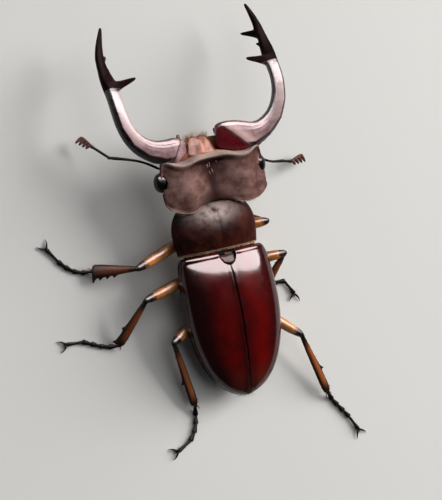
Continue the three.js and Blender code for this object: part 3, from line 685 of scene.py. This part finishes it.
def pronotum_form(place, normal):
    """A middle furrow, a dimple each side, and raised beads at the front, rear and side margins."""
    side, ahead, height = in_trunk(place)
    side -= prothorax_shift
    if height < -0.2:
        return Vector()
    lift = -furrow_depth * bell(side / 0.35) * ramp(ahead, 1.5, 3) * ramp(ahead, 8.6, 7.5)
    lift -= dimple_depth * bell((abs(side) - 5.6) / 0.9) * bell((ahead - 4.4) / 0.9)
    lift += rear_bead * bell((ahead - 0.55) / 0.22) + front_bead * bell((ahead - 9.3) / 0.25)
    lift += side_bead * bell((height - 0.25) / 0.22) * ramp(abs(side), 6, 7)
    return normal * lift * mm


def pronotum_bloom(place, normal):
    """Painted sheen: a grey-bronze highlight over the front half, a little to the left of the middle."""
    side, ahead = in_trunk(place).xy
    return bell((side - prothorax_shift + 0.6) / 3.9) * bell((ahead - 7.7) / 1.9)


def pronotum_hem(place, normal):
    """Thin golden line along the rear edge, above the fringe."""
    ahead, height = in_trunk(place).yz
    return bell((ahead - 0.46) / 0.06) * ramp(height, 0.0, 0.8)


def pronotum_colours(tree, brown):
    """Clouds the painted grey-bronze sheen over the brown and draws the hem."""
    streaks = between(tree, cloud(tree, on_piece(tree), 2.0 * mm), 0.22, 0.62)
    bloom = times(tree, carried(tree, "bloom"), streaks)
    # the grey-bronze here is a painted sheen, where the front slope would catch the light
    brown = mixed(tree, bloom, brown, (0.42, 0.335, 0.32))
    return mixed(tree, carried(tree, "hem"), brown, (0.5, 0.32, 0.19))


pronotum_shell = shell(
    "pronotum_shell", (0.008, 0.0015, 0.0012), (0.045, 0.009, 0.006), (0.34, 0.48), (0.16, 0.03),
    down=0.03, down_tint=(1.0, 0.8, 0.66), bend=1.08, colours=pronotum_colours,
)
pronotum_piece = grown_skin("pronotum", "pronotum_plate", 0.15, 4, fuller=0.05)
shape_by(pronotum_piece, pronotum_form)
# Stores the painted sheen mask and the golden hem on the plate.
carry(pronotum_piece, bloom=pronotum_bloom, hem=pronotum_hem)
fit_out(pronotum_piece, pronotum_shell, "dark_shell", "pronotum")

fringe_horn = shell("fringe_horn", (0.35, 0.2, 0.1), (0.8, 0.58, 0.36), (0.3, 0.45), (0.1, 0.005))
fringe_count = 520
fringe_half_width = 8.05
hem_half_width = 8.1
hem_rise = 3.42
hem_roundness = 2.15  # 2 for an ellipse, more for squarer shoulders
fringe = []
for k in range(fringe_count):
    turn = math.pi * (0.03 + 0.94 * luck.random())
    x = fringe_half_width * math.copysign(abs(math.cos(turn)) ** 0.9, math.cos(turn))
    height = hem_rise * max(0.0, 1 - abs(x / hem_half_width) ** hem_roundness) ** (1 / hem_roundness)
    root = out_of_trunk((x + prothorax_shift, luck.uniform(0.22, 0.42), height - 0.04))
    away = out_of_trunk((x * 0.35, -6, 1.5 + height)) - out_of_trunk((x * 0.35, 0, 1.2 + height * 0.75))
    sway = Vector((luck.uniform(-1.2, 1.2), 0, luck.uniform(-0.4, 0.8))) * mm
    fringe.append((root, away + sway, (0, 0, -1), luck.uniform(0.14, 0.26)))
plant("golden_fringe", hair_pattern, fringe, fringe_horn, "dark_shell")

scutellum_shell = shell(
    "scutellum_shell", (0.03, 0.01, 0.007), (0.09, 0.035, 0.025), (0.28, 0.42), (0.15, 0.03), bend=1.25
)
scutellum_drop = 0.3


def scutellum_form(place, normal):
    """Rounds the front of the top down to the wing cases."""
    if normal.z < 0.3:
        return Vector()
    return normal * -scutellum_drop * mm * ramp(in_trunk(place).y, -1.3, -0.4)


scutellum_piece = grown_skin("scutellum", "scutellum_plate", 0.07, 6, fuller=0.11)
shape_by(scutellum_piece, scutellum_form)
fit_out(scutellum_piece, scutellum_shell, "dark_shell", "scutellum")

# ---- wing cases -------------------------------------------------------------------------------------
# The two elytra are bowed shells that meet along the suture and lock over the abdomen. They look
# lacquered: a deep wine red under a mirror-like gloss, black along the side margins, and darkened
# with painted shade on the flanks and along the suture.


def wing_case_colours(tree, red):
    """Browner at the tip, black along the side margin, and painted shade on the sideways flanks and along the
    suture.
    """
    red = mixed(tree, carried(tree, "tip"), red, (0.05, 0.014, 0.007))
    return mixed(tree, carried(tree, "edge"), red, (0.006, 0.0006, 0.0006))


def wing_case_margin_and_shade(place, normal):
    """How black a place is: the real black side margin, plus painted shade on flanks that face sideways and
    in a band along the suture.
    """
    side, height = in_trunk(place).xz
    margin = 0.9 * bell((height - 0.1) / 0.9)
    # painted shade: flanks that face sideways are darkened as if lit only from above
    flank = 0.74 * ramp(abs(normal.x), 0.12, 0.48)
    # painted shade: a dark band along the suture
    suture = 0.66 * bell(side / 1.7)
    return min(1.0, max(margin, flank) + suture)


def wing_case_tip(place, normal):
    """How brown a place is, from near the tip."""
    return 0.7 * ramp(-in_trunk(place).y, 21.5, 28.6)


margin_bead = 0.13  # heights and depths, each side of the groove that follows
margin_groove = 0.1
suture_ridge = 0.02
front_rise = 0.26


def wing_case_form(place, normal):
    """A raised bead round the side margin with a groove above it, a faint ridge beside the suture, and
    a front edge that stands up a little."""
    side, ahead, height = in_trunk(place)
    lift = margin_bead * bell((height + 0.2) / 0.24) - margin_groove * bell((height - 0.45) / 0.3)
    if height > 1.5:
        lift = suture_ridge * (bell((abs(side) - 0.45) / 0.2) - bell((abs(side) - 0.95) / 0.25))
        lift += front_rise * ramp(ahead, -1.4, -0.6) * ramp(normal.z, 0.2, 0.6)
    return normal * lift * mm


wing_case_shell = shell(
    "wing_case_shell", (0.05, 0.0005, 0.0005), (0.092, 0.0008, 0.0007), (0.12, 0.17), (0.3, 0.004),
    lumps=1.6, coat=0.15, bend=1.38, colours=wing_case_colours,
)
for side_name in sides:
    wing_case = cast_of("elytron_" + side_name, "wing_case_" + side_name)
    open_mesh("DESELECT")
    bpy.ops.mesh.edges_select_sharp(sharpness=math.radians(50))
    bpy.ops.transform.edge_crease(value=0.8)
    let_go()
    rounded(wing_case, 3)
    shape_by(wing_case, wing_case_form)
    # edge holds the black margin together with the painted shade of the flanks and the suture.
    carry(wing_case, edge=wing_case_margin_and_shade, tip=wing_case_tip)
    fit_out(wing_case, wing_case_shell, "wing_case", "elytron_" + side_name)

tail_hair_count = 90
tail_y = -28.5
tail_hairs = []
for k in range(tail_hair_count):
    x = luck.uniform(-1.6, 1.6)
    root = out_of_trunk((x, tail_y + 0.25 * abs(x) + luck.uniform(-0.3, 0.3), luck.uniform(-0.9, 0.1)))
    away = Vector((x * 0.25, -1, luck.uniform(-0.35, 0.0)))
    tail_hairs.append((root, away, (0, 0, -1), luck.uniform(1.0, 1.7)))
plant("tail_hairs", hair_pattern, tail_hairs, bristle_horn, "dark_shell")

# ---- head -------------------------------------------------------------------------------------------
# The head is a broad box with swollen rear lobes and a thin raised ridge along its front, above the
# mandibles. It is dull, because the top is covered with close fine pits and very short down.

head_tilt = math.radians(10)
nape = Vector((0, 9.95, 10.8))
head_place = Vector((0.55, 0, -1.0))
head_origin = Vector((middle_x, joint_y, 0))
head_half_width = 10.8
lobe_rear = 8.15
lobe_centre = 6.3
lobe_corner = 3.3
ridge_front = 18.5
ridge_dip = 0.75
ridge_corner_lead = 0.55
# heights and depths of the finer forms
lobe_lift = 0.6
ridge_crest = 0.2
brow_crease = 0.16
rim_crest = 0.17
rim_groove = 0.12
valley_depth = 0.3
lobe_crown = 0.1


def in_head(place):
    """A place in millimetres of the untilted head."""
    away = (Vector(place) - head_origin) / mm - nape - head_place
    return Matrix.Rotation(-head_tilt, 3, "X") @ away + nape


def out_of_head(place):
    """The place in the frame of one given in millimetres of the untilted head."""
    away = Matrix.Rotation(head_tilt, 3, "X") @ (Vector(place) - nape)
    return (away + nape + head_place) * mm + head_origin


def head_way(way):
    """The direction in the frame of one given for the untilted head."""
    return Matrix.Rotation(head_tilt, 3, "X") @ Vector(way)


def head_rear(side):
    """How far ahead of the joint the head's rear edge lies at a distance from the middle."""
    if side < lobe_centre:
        return nape.y - (nape.y - lobe_rear) * ramp(side, 0, lobe_centre)
    share = min(1.0, (side - lobe_centre) / (head_half_width + 0.1 - lobe_centre))
    return lobe_rear + lobe_corner * (1 - math.sqrt(1 - share * share))


def head_ridge(side):
    """How far ahead the crest of the frontal ridge lies: it dips over each lobe, leads towards its
    corners and turns back round them."""
    dip = math.cos(max(-1, min(1, (side - lobe_centre) / 3.9)) * math.pi / 2) ** 2
    lead = ridge_corner_lead * ramp(side, 7.5, 10.1)
    return ridge_front + lead - ridge_dip * dip - 4.6 * ramp(side, 10.35, 10.95)


def head_form(place, normal):
    """Raises the rear lobes' outer edges, sharpens the frontal ridge, the rear rims and the valley,
    and creases the brow behind the ridge."""
    x, y, z = in_head(place)
    side = abs(x)
    lift = lobe_lift * ramp(side, 6.8, 10.6) * ramp(y, 16, 13) * ramp(z, 7.5, 9)
    if normal.z < -0.2:
        return head_way((0, 0, lift)) * mm
    from_ridge = y - head_ridge(side)
    from_rear = y - head_rear(side)
    lift += ridge_crest * bell(from_ridge / 0.2) * ramp(side, 10.4, 9.6)
    lift -= brow_crease * bell((from_ridge + 0.9) / 0.5) * ramp(side, 10.2, 9.2)
    rim = rim_crest * bell((from_rear - 0.25) / 0.25) - rim_groove * bell((from_rear - 0.9) / 0.4)
    lift += rim * ramp(side, 3, 4.5)
    lift -= valley_depth * bell(x / 1.7) * ramp(y, 11, 14) * ramp(y, 18.4, 17)
    lift += lobe_crown * bell((side - 5.8) / 2.2) * bell((y - 12.6) / 2.4)
    return head_way((0, 0, lift)) * mm


def head_painted_shade(place, normal):
    """Painted shade: dark red-brown in the valley, behind the brow and at the middle of the rear edge, and
    near-black down the sides that face downwards.
    """
    x, y = in_head(place).xy
    side = abs(x)
    spread = 1.3 + 0.55 * max(0.0, y - 14.0) + 0.9 * max(0.0, 12.5 - y)
    valley = 0.95 * bell((x + 0.4) / spread) * ramp(y, 18.9, 17.8)
    # painted shade on the sides that turn away from the light above
    flank = ramp(normal.z, 0.35, -0.05)
    brow = 0.9 * bell((y - head_ridge(side) + 0.95) / 0.45) * ramp(side, 10, 8.5)
    nape_shade = 0.7 * bell((y - head_rear(side)) / 1.6) * ramp(side, 4.4, 2.5)
    return min(1.0, max(valley, nape_shade) + brow * 0.6 + flank)


def head_tan_and_rim_highlight(place, normal):
    """How pale a place is: the frontal ridge's grey-tan, and a painted highlight on the rear rims where they
    face backwards and up.
    """
    x, y = in_head(place).xy
    side = abs(x)
    before = y - head_ridge(side)
    ridge = 0.55 * ramp(before, -0.5, -0.15) * ramp(before, 1.3, 0.7)
    ridge *= ramp(side, 10.7, 10.1) * ramp(normal.z, -0.4, 0.1)
    # painted highlight: rims that face backwards and up are made pale
    behind = -(Matrix.Rotation(-head_tilt, 3, "X") @ normal).y
    rim = ramp(behind, 0.05, 0.25) * ramp(normal.z, 0.15, 0.4)
    rim *= ramp(y, head_rear(side) + 0.9, head_rear(side) + 0.5) * ramp(side, 3.4, 4.4)
    return min(1.0, ridge + rim)


def head_amber(place, normal):
    """Amber on the face below the ridge, between the mandibles."""
    x, y, z = in_head(place)
    return ramp(y - head_ridge(abs(x)), 0.25, 0.6) * ramp(abs(x), 3.4, 2.4) * ramp(z, 7.5, 9)


def head_colours(tree, brown):
    """Darkens the brown with painted shade, and paints the face amber, the ridge grey-tan and a painted
    highlight on the rims.
    """
    # painted shade from the dark mask
    brown = mixed(tree, carried(tree, "dark"), brown, (0.016, 0.004, 0.003))
    brown = mixed(tree, carried(tree, "amber"), brown, (0.34, 0.13, 0.055))
    return mixed(tree, carried(tree, "pale"), brown, (0.5, 0.39, 0.35))


head_shell = shell(
    "head_shell", (0.078, 0.034, 0.028), (0.205, 0.117, 0.104), (0.5, 0.66), (0.11, 0.03),
    down=0.05, down_tint=(1.0, 0.82, 0.76), bend=1.07, colours=head_colours,
)
head_piece = grown_skin("head", "head_capsule", 0.14, 5, fuller=0.04)
shape_by(head_piece, head_form)
softened(head_piece, 1)
# dark stores painted shade; pale stores the ridge's grey-tan and a painted highlight on the rear rims.
carry(head_piece, dark=head_painted_shade, pale=head_tan_and_rim_highlight, amber=head_amber)
fit_out(head_piece, head_shell, "head_shell", "head")

down_horn = shell("down_horn", (0.45, 0.33, 0.28), (0.75, 0.6, 0.52), (0.35, 0.5), (0.1, 0.005))
head_top = 11.5


def on_head(x, y):
    """The place on the head's upper side, found by dropping a plumb line on it."""
    above = out_of_head((x, y, head_top + 8.5))
    hit, place = head_piece.ray_cast(above, head_way((0, 0, -1)))[:2]
    return place if hit else out_of_head((x, y, head_top))


brow_hair_count = 10
rear_hair_count = 50
brow_hairs = []
for k in range(brow_hair_count):
    x = luck.gauss(0.0, 0.6)
    y = luck.uniform(14.2, 17.4)
    lie = head_way((luck.uniform(-0.5, 0.5), 1, 0.2))
    brow_hairs.append((on_head(x, y), lie, (0, 0, -1), luck.uniform(0.6, 1.1)))
for k in range(rear_hair_count):
    side = luck.choice((-1, 1))
    x = side * luck.uniform(3.4, 10.0)
    y = head_rear(abs(x)) + luck.uniform(0.02, 0.3)
    lie = head_way((side * 0.3, -1, 0.2))
    brow_hairs.append((on_head(x, y), lie, (0, 0, -1), luck.uniform(0.3, 0.5)))
plant("head_hairs", hair_pattern, brow_hairs, down_horn, "head_shell")

# ---- eyes, upper lip, palps and mouth brushes -------------------------------------------------------
# The eyes are black domes of many tiny lenses set in the head's sides. The upper lip is a small amber
# plate over the mouth, the palps are jointed feelers below it, and the maxillae end in golden brushes.

eye_dome = shell(
    "eye_dome", (0.002, 0.002, 0.0025), (0.005, 0.0045, 0.005), (0.12, 0.2), (0.07, 0.012), bend=1.35
)
eye_fuller = 0.2
lip_shell = shell(
    "lip_shell", (0.14, 0.035, 0.015), (0.42, 0.13, 0.06), (0.25, 0.4), (0.16, 0.03), lumps=0.5, bend=1.3
)
palp_shell = shell(
    "palp_shell", (0.04, 0.012, 0.006), (0.13, 0.045, 0.02), (0.3, 0.45), (0.1, 0.01), bend=1.2
)
palp_root_rise = 1.5


def palp_bow(place, normal):
    """Bends the root of a palp up into the mouth."""
    return head_way((0, 0, palp_root_rise * ramp(in_head(place).y, 22, 19.8))) * mm


for side_name in sides:
    eye = cast_of("eye_" + side_name, "eye_dome_" + side_name)
    rounded(eye, 3)
    swollen(eye, eye_fuller)
    fit_out(eye, eye_dome, "eye", "eye_" + side_name)
    palp = grown_skin("palp_" + side_name, "palp_stem_" + side_name, 0.06, 4, fuller=0.04)
    shape_by(palp, palp_bow)
    fit_out(palp, palp_shell, "amber_leg", "palp_" + side_name)

mouth_shift = -1.3  # of the lip, the mouth and the jaws' inner ends, to the left
lip_keel = 0.22
lip_slope = 0.12
lip_notch = 0.3
lip_root = 1.1  # how far back its root is drawn


def lip_form(place, normal):
    """Folds the plate into a raised middle and two sloping sides, with a notched front edge."""
    x, y = in_head(place).xy
    keel = lip_keel * bell(x / 0.5) - lip_slope * bell((abs(x) - 1.1) / 0.4)
    notch = -lip_notch * bell(x / 0.5) * ramp(y, 21.8, 22.7)
    root = ramp(y, 21.4, 20.2)
    spread = x * (0.12 + 0.14 * root)
    return head_way((spread + mouth_shift, notch - lip_root * root, keel if normal.z > 0 else 0)) * mm


lip = grown_skin("upper_lip", "upper_lip_plate", 0.08, 5, fuller=0.05)
shape_by(lip, lip_form)
fit_out(lip, lip_shell, "amber_leg", "upper_lip")

mouth_shell = shell(
    "mouth_shell", (0.05, 0.014, 0.008), (0.22, 0.07, 0.035), (0.45, 0.6), (0.15, 0.03), lumps=0.5, bend=1.08
)
mouth_place = out_of_head((mouth_shift * 0.7, 19.6, 8.3))
mouth_size = Vector((9.4, 5.0, 1.5))
mouth_rounding = 0.55
let_go()
bpy.ops.mesh.primitive_cube_add(size=1, location=mouth_place, rotation=(head_tilt, 0, 0))
mouth = bpy.context.object
mouth.name = "mouth_plate"
bpy.ops.transform.resize(value=mouth_size * mm)
bpy.ops.object.transform_apply()
open_mesh()
bpy.ops.mesh.bevel(offset=mouth_rounding * mm, segments=3, affect="EDGES")
let_go()
fit_out(mouth, mouth_shell, "head_shell")

jaw_root_radii = (3.6, 1.9, 1.0)
jaw_root_turn = math.radians(8)
jaw_roots = []
for side in sides.values():
    root_place = out_of_head((side * 6.4, 18.7, 9.3))
    let_go()
    bpy.ops.mesh.primitive_uv_sphere_add(segments=32, ring_count=16, radius=1 * mm, location=root_place)
    bpy.ops.transform.resize(value=jaw_root_radii)
    bpy.ops.object.transform_apply()
    open_mesh()
    bpy.ops.transform.rotate(value=side * jaw_root_turn, orient_axis="Z", center_override=root_place)
    let_go()
    jaw_roots.append(bpy.context.object)
fit_out(joined("jaw_roots", jaw_roots), mouth_shell, "head_shell")

brush_count = 220
brush = []
for k in range(brush_count):
    x = mouth_shift + luck.choice((-1, 1)) * luck.uniform(0.35, 2.3)
    root = out_of_head((x, luck.uniform(20.8, 22.2), luck.uniform(7.2, 8.1)))
    way = head_way((luck.uniform(-0.5, 0.5), 1, luck.uniform(-0.15, 0.35)))
    brush.append((root, way, (0, 0, 1), luck.uniform(1.1, 2.2)))
plant("mouth_brushes", hair_pattern, brush, fringe_horn, "amber_leg")

# ---- antennae ---------------------------------------------------------------------------------------
# Elbowed feelers: a long thin scape, a beaded funicle, and a club of four flat leaves. The scape is
# black and glossy, the club dull brown with fine down.

club_shell = shell(
    "club_shell", (0.03, 0.01, 0.007), (0.11, 0.04, 0.025), (0.45, 0.6), (0.1, 0.01),
    down=0.1, down_tint=(1.0, 0.8, 0.7), bend=1.15,
)
for side_name in sides:
    for part in ("scape", "funicle"):
        node = "antenna_" + side_name + "_" + part
        feeler = cast_of(node, part + "_" + side_name)
        rounded(feeler, 2)
        fit_out(feeler, tarsus_shell, "antenna", node)
    node = "antenna_" + side_name + "_club"
    club = grown_skin(node, "club_" + side_name, 0.07, 3, fuller=0.03)
    fit_out(club, club_shell, "antenna", node)
antenna_bends = {  # each bend's place from the trunk's joint on the floor, and where the next part goes
    "left": [((-17.9, 22.2, 5.6), (-20.1, 25.1, 3.2)), ((-20.1, 25.1, 3.2), (-21.6, 27.6, 2.3))],
    "right": [((18.2, 14.9, 4.4), (20.7, 14.6, 2.3)), ((20.7, 14.6, 2.3), (23.9, 15.7, 1.6))],
}
for side_name, bends in antenna_bends.items():
    knobs = []
    for bend, following in bends:
        place = Vector(bend) * mm + head_origin
        way = (Vector(following) * mm + head_origin - place).normalized()
        ends = (place - way * 0.35 * mm, place + way * 0.45 * mm)
        knobs.append(laid(condyle_pattern, "knob", *ends, broad=0.75))
    fit_out(joined("antenna_knobs_" + side_name, knobs), joint_shell, "antenna")

# ---- mandibles --------------------------------------------------------------------------------------
# The stag's antlers: solid, curved jaws with one main inner tooth and a forked tip. The flat-topped
# base is highly polished and mauve-brown, with painted highlights on its top and painted shade on its
# flanks, and from the main tooth outwards the jaw is black.

hinge = Vector((3.4, ridge_front + 2.7, 10.2))
creases = {  # lines cutting off the jaws' inner rear corners, as x and y of the head
    -1: (Vector((-4.9, 24.4)), Vector((-8.0, 18.9))),
    1: (Vector((2.3, 24.9)), Vector((8.3, 18.9))),
}


def behind_crease(x, y):
    """How far a place lies inside the crease of its jaw."""
    side = -1 if x < 0 else 1
    start, end = creases[side]
    return side * (Vector((x, y)) - start).cross((end - start).normalized())


jaw_line = [  # of the right jaw from the hinge on, x from the head's middle and y from the hinge
    (3.4, 0), (6.3, -0.2), (9.2, -0.3), (12.2, 0.6), (14.8, 2.8), (16.4, 6.1), (16.95, 9.8), (16.95, 13.2),
    (17.1, 16.4),
]
jaw_half_widths = [1.9, 2.5, 2.4, 1.85, 1.55, 1.4, 1.3, 1.3, 1.4]
right_corner_lead = 1.5  # how far ahead the right jaw's inner end is pushed, as it is wider open
main_tooth = 13.0  # ahead of the hinge
cut_place = out_of_head((0, hinge.y + main_tooth, 8.3))  # the plane that parts the base from the tip
cut_way = head_way((0, 0.86, -0.5))
edge_fill = 0.62  # squares the rounded edges of the jaws' upper and lower sides
crown_sink = 0.05  # sinks their middles
outer_share = 0.42  # of the half-width, where the outer slope begins
outer_slope = 1.5
corner_slope = 0.34


def jaw_offset(x, y):
    """How far a place lies to the outer side of the jaw's middle line, as a share of its half-width."""
    spot = Vector((abs(x), y - hinge.y))
    nearest = None
    for k in range(len(jaw_line) - 1):
        start, end = Vector(jaw_line[k]), Vector(jaw_line[k + 1])
        way = end - start
        share = min(1.0, max(0.0, (spot - start).dot(way) / way.length_squared))
        gap = spot - start - way * share
        if nearest is None or gap.length < nearest[0]:
            half_width = jaw_half_widths[k] * (1 - share) + jaw_half_widths[k + 1] * share
            nearest = (gap.length, -way.normalized().cross(gap) / half_width)
    return nearest[1]


def facing_up(normal):
    """1 for a surface that faces the head's upper side, -1 for one that faces down."""
    return head_way((0, 0, 1)).dot(normal)


def mandible_form(place, normal):
    """Flattens the upper side between hinge and main tooth, pushes the right jaw's inner end ahead,
    shifts both inner ends to the mouth and planes the corners behind the creases down."""
    x, y = in_head(place).xy
    up = facing_up(normal)
    flat = ramp(y, hinge.y + main_tooth + 3.5, hinge.y + main_tooth)
    move = normal * flat * (edge_fill * up * up * (1 - up * up) - crown_sink * up**4)
    outer = max(0.0, jaw_offset(x, y) - outer_share) * flat * ramp(abs(x), 6, 9)
    move = move + head_way((0, 0, -outer_slope * outer * ramp(up, -0.2, 0.3)))
    shift = mouth_shift * ramp(abs(x), 8.5, 3.8)
    if x > 0:
        lead = right_corner_lead * ramp(x, 11.5, 4.2) * ramp(y, hinge.y - 0.6, hinge.y + 1.6)
        move = move + head_way((0, lead, 0))
        y += lead
    inside = behind_crease(x + shift, y)
    if up > -0.2 and inside > 0:
        move = move + head_way((0, 0, -corner_slope * inside * ramp(up, -0.2, 0.3)))
    return (move + Vector((shift, 0, 0))) * mm


def mandible_lit_top(place, normal):
    """Painted highlight and shade: 1 on the upper side, which keeps the pale mauve, 0 on the flanks and
    below, which are painted dark.
    """
    x, y = in_head(place).xy
    outer = ramp(jaw_offset(x, y), 0.4, 0.52) * ramp(abs(x), 6, 9)
    return ramp(facing_up(normal), 0.4, 0.65) * (1 - outer) * ramp(-normal.x, 0.5, 0.3)


def mandible_painted_gleam(place, normal):
    """A painted highlight: the polished top grows paler towards the main tooth."""
    return ramp(in_head(place).y - hinge.y, 0, 8)


def mandible_fade(place, normal):
    """How near a place of the base lies to the black tip."""
    return ramp((place - cut_place).dot(cut_way) / mm, -1.7, -0.1)


def mandible_wine(place, normal):
    """The right jaw's inner rear corner is bare polished chitin."""
    x, y = in_head(place).xy
    return ramp(behind_crease(x, y), 0.0, 0.25) * ramp(y, hinge.y + 4, hinge.y + 3) if x > 0 else 0.0


def mandible_blush(place, normal):
    """A painted highlight: a pale pink band beside the wine-red corner."""
    x, y = in_head(place).xy
    return 0.7 * bell((behind_crease(x, y) + 1.1) / 0.9) * ramp(y, hinge.y + 5, hinge.y + 3) if x > 0 else 0.0


def mandible_crease_shade(place, normal):
    """Painted shade: a fine dark line along the crease."""
    x, y = in_head(place).xy
    return bell(behind_crease(x, y) / 0.16) * ramp(y, hinge.y + 4, hinge.y + 3)


def mandible_colours(tree, mauve):
    """Painted highlights paler ahead and in a pink band, painted shade on the flanks and in the crease, a
    wine-red corner, and black at the tooth.
    """
    # painted highlight, growing towards the main tooth
    mauve = mixed(tree, times(tree, carried(tree, "light"), 0.6), mauve, (0.54, 0.42, 0.43))
    # painted highlight: the pale pink band
    mauve = mixed(tree, carried(tree, "blush"), mauve, (0.66, 0.42, 0.4))
    # painted shade on the flanks and underside, under the painted highlight of the top
    mauve = mixed(tree, carried(tree, "top"), (0.012, 0.003, 0.008), mauve)
    mauve = mixed(tree, carried(tree, "wine"), mauve, (0.17, 0.003, 0.01))
    # painted shade along the crease
    mauve = mixed(tree, carried(tree, "crease"), mauve, (0.03, 0.006, 0.01))
    ragged = between(tree, cloud(tree, on_piece(tree), 1.2 * mm), 0.3, 0.7, -0.35, 0.35)
    fade = between(tree, times(tree, carried(tree, "fade"), ragged, "ADD"), 0.35, 0.75)
    return mixed(tree, fade, mauve, (0.008, 0.0022, 0.003))


mandible_shell = shell(
    "mandible_shell", (0.15, 0.078, 0.084), (0.3, 0.185, 0.19), (0.24, 0.36), (0.24, 0.014), bend=1.42,
    colours=mandible_colours,
)
mandible_tip_shell = shell(
    "mandible_tip_shell", (0.004, 0.0012, 0.0016), (0.016, 0.004, 0.005), (0.3, 0.45), (0.2, 0.014), bend=1.06
)
for side_name in sides:
    mandible = grown_skin("mandible_" + side_name, "jaw_" + side_name, 0.1, 10, fuller=0.07)
    shape_by(mandible, mandible_form)
    softened(mandible, 2)
    tip = put("jaw_tip_" + side_name, mandible.data.copy())
    for half in (mandible, tip):
        take_up(half)
        open_mesh()
        bpy.ops.mesh.bisect(
            plane_co=cut_place, plane_no=cut_way, use_fill=True,
            clear_inner=half is tip, clear_outer=half is mandible,
        )
        let_go()
    # The top mask, the paling towards the tooth, the pink band and the crease line are painted highlight and
    # shade.
    carry(
        mandible, top=mandible_lit_top, wine=mandible_wine, blush=mandible_blush, crease=mandible_crease_shade,
        fade=mandible_fade, light=mandible_painted_gleam,
    )
    fit_out(mandible, mandible_shell, "mandible", "mandible_" + side_name)
    fit_out(tip, mandible_tip_shell, "mandible")

for pattern in (condyle_pattern, spine_pattern, hair_pattern, short_toe, long_toe, claw_pattern):
    bpy.data.objects.remove(pattern)

# ---- studio -----------------------------------------------------------------------------------------
# The beetle stands on a plain pale floor. A broad oval panel ahead of it only shows as a mirror image
# along the front of the shell and jaws, and a soft key from its right and a pale sky light the rest.

bpy.ops.mesh.primitive_plane_add(size=6)
floor = bpy.context.object
floor.name = "floor"
floor_paint = bpy.data.materials.new("floor_paint")
floor_paint.use_nodes = True
tree = floor_paint.node_tree
matte = tree.nodes["Principled BSDF"]
feed(tree, matte, Base_Color=(0.56, 0.56, 0.55), Roughness=0.9, Specular_IOR_Level=0.1)
floor.data.materials.append(floor_paint)

look_at = Vector((middle_x, joint_y, 12 * mm))
tilt = math.radians(20)
roll = math.radians(12.5)
distance = 330 * mm
towards = Vector((-math.sin(tilt), 0, math.cos(tilt)))
level_right = Vector((math.cos(tilt), 0, math.sin(tilt)))
ahead = Vector((0, 1, 0))
right = level_right * math.cos(roll) - ahead * math.sin(roll)
up = level_right * math.sin(roll) + ahead * math.cos(roll)
view_height = 97.5 * mm
film = 36
off_right, off_up = -1.56 * mm, -0.39 * mm  # of the camera from the place it looks at
camera_data = bpy.data.cameras.new("camera")
camera_data.sensor_width = film
camera_data.lens = film * distance / view_height
camera_data.clip_start = 0.01
camera = put("camera", camera_data)
stand = look_at + towards * distance + right * off_right + up * off_up
camera.matrix_world = Matrix.Translation(stand) @ Matrix((right, up, towards)).transposed().to_4x4()
bpy.context.scene.camera = camera


def panel(name, shape, direction, away, size, power, colour, glossy, diffuse):
    """A soft lamp that faces the beetle from a direction."""
    lamp_data = bpy.data.lights.new(name, "AREA")
    lamp_data.shape = shape
    lamp_data.size, lamp_data.size_y = size
    lamp_data.energy = power
    lamp_data.color = colour
    lamp = put(name, lamp_data)
    towards_lamp = Vector(direction).normalized()
    lamp.location = look_at + towards_lamp * away
    lamp.rotation_euler = towards_lamp.to_track_quat("Z", "Y").to_euler()
    lamp.visible_glossy = glossy
    lamp.visible_diffuse = diffuse


panel("front_panel", "ELLIPSE", (0.12, 0.65, 0.755), 1.0, (3.0, 0.9), 153, (1.0, 0.88, 0.88), True, False)
panel("sky_light", "SQUARE", (0.5, 0.25, 1.0), 1.2, (1.4, 1.4), 8.5, (1.0, 1.0, 1.0), False, True)
panel("right_key", "SQUARE", (1.0, 0.2, 0.5), 1.0, (0.6, 0.6), 18.5, (1.0, 0.97, 0.93), False, True)

room = bpy.data.worlds.new("room")
room.use_nodes = True
feed(room.node_tree, room.node_tree.nodes["Background"], Color=(0.8, 0.85, 0.9), Strength=0.05)
bpy.context.scene.world = room
bpy.context.scene.view_settings.view_transform = "Standard"
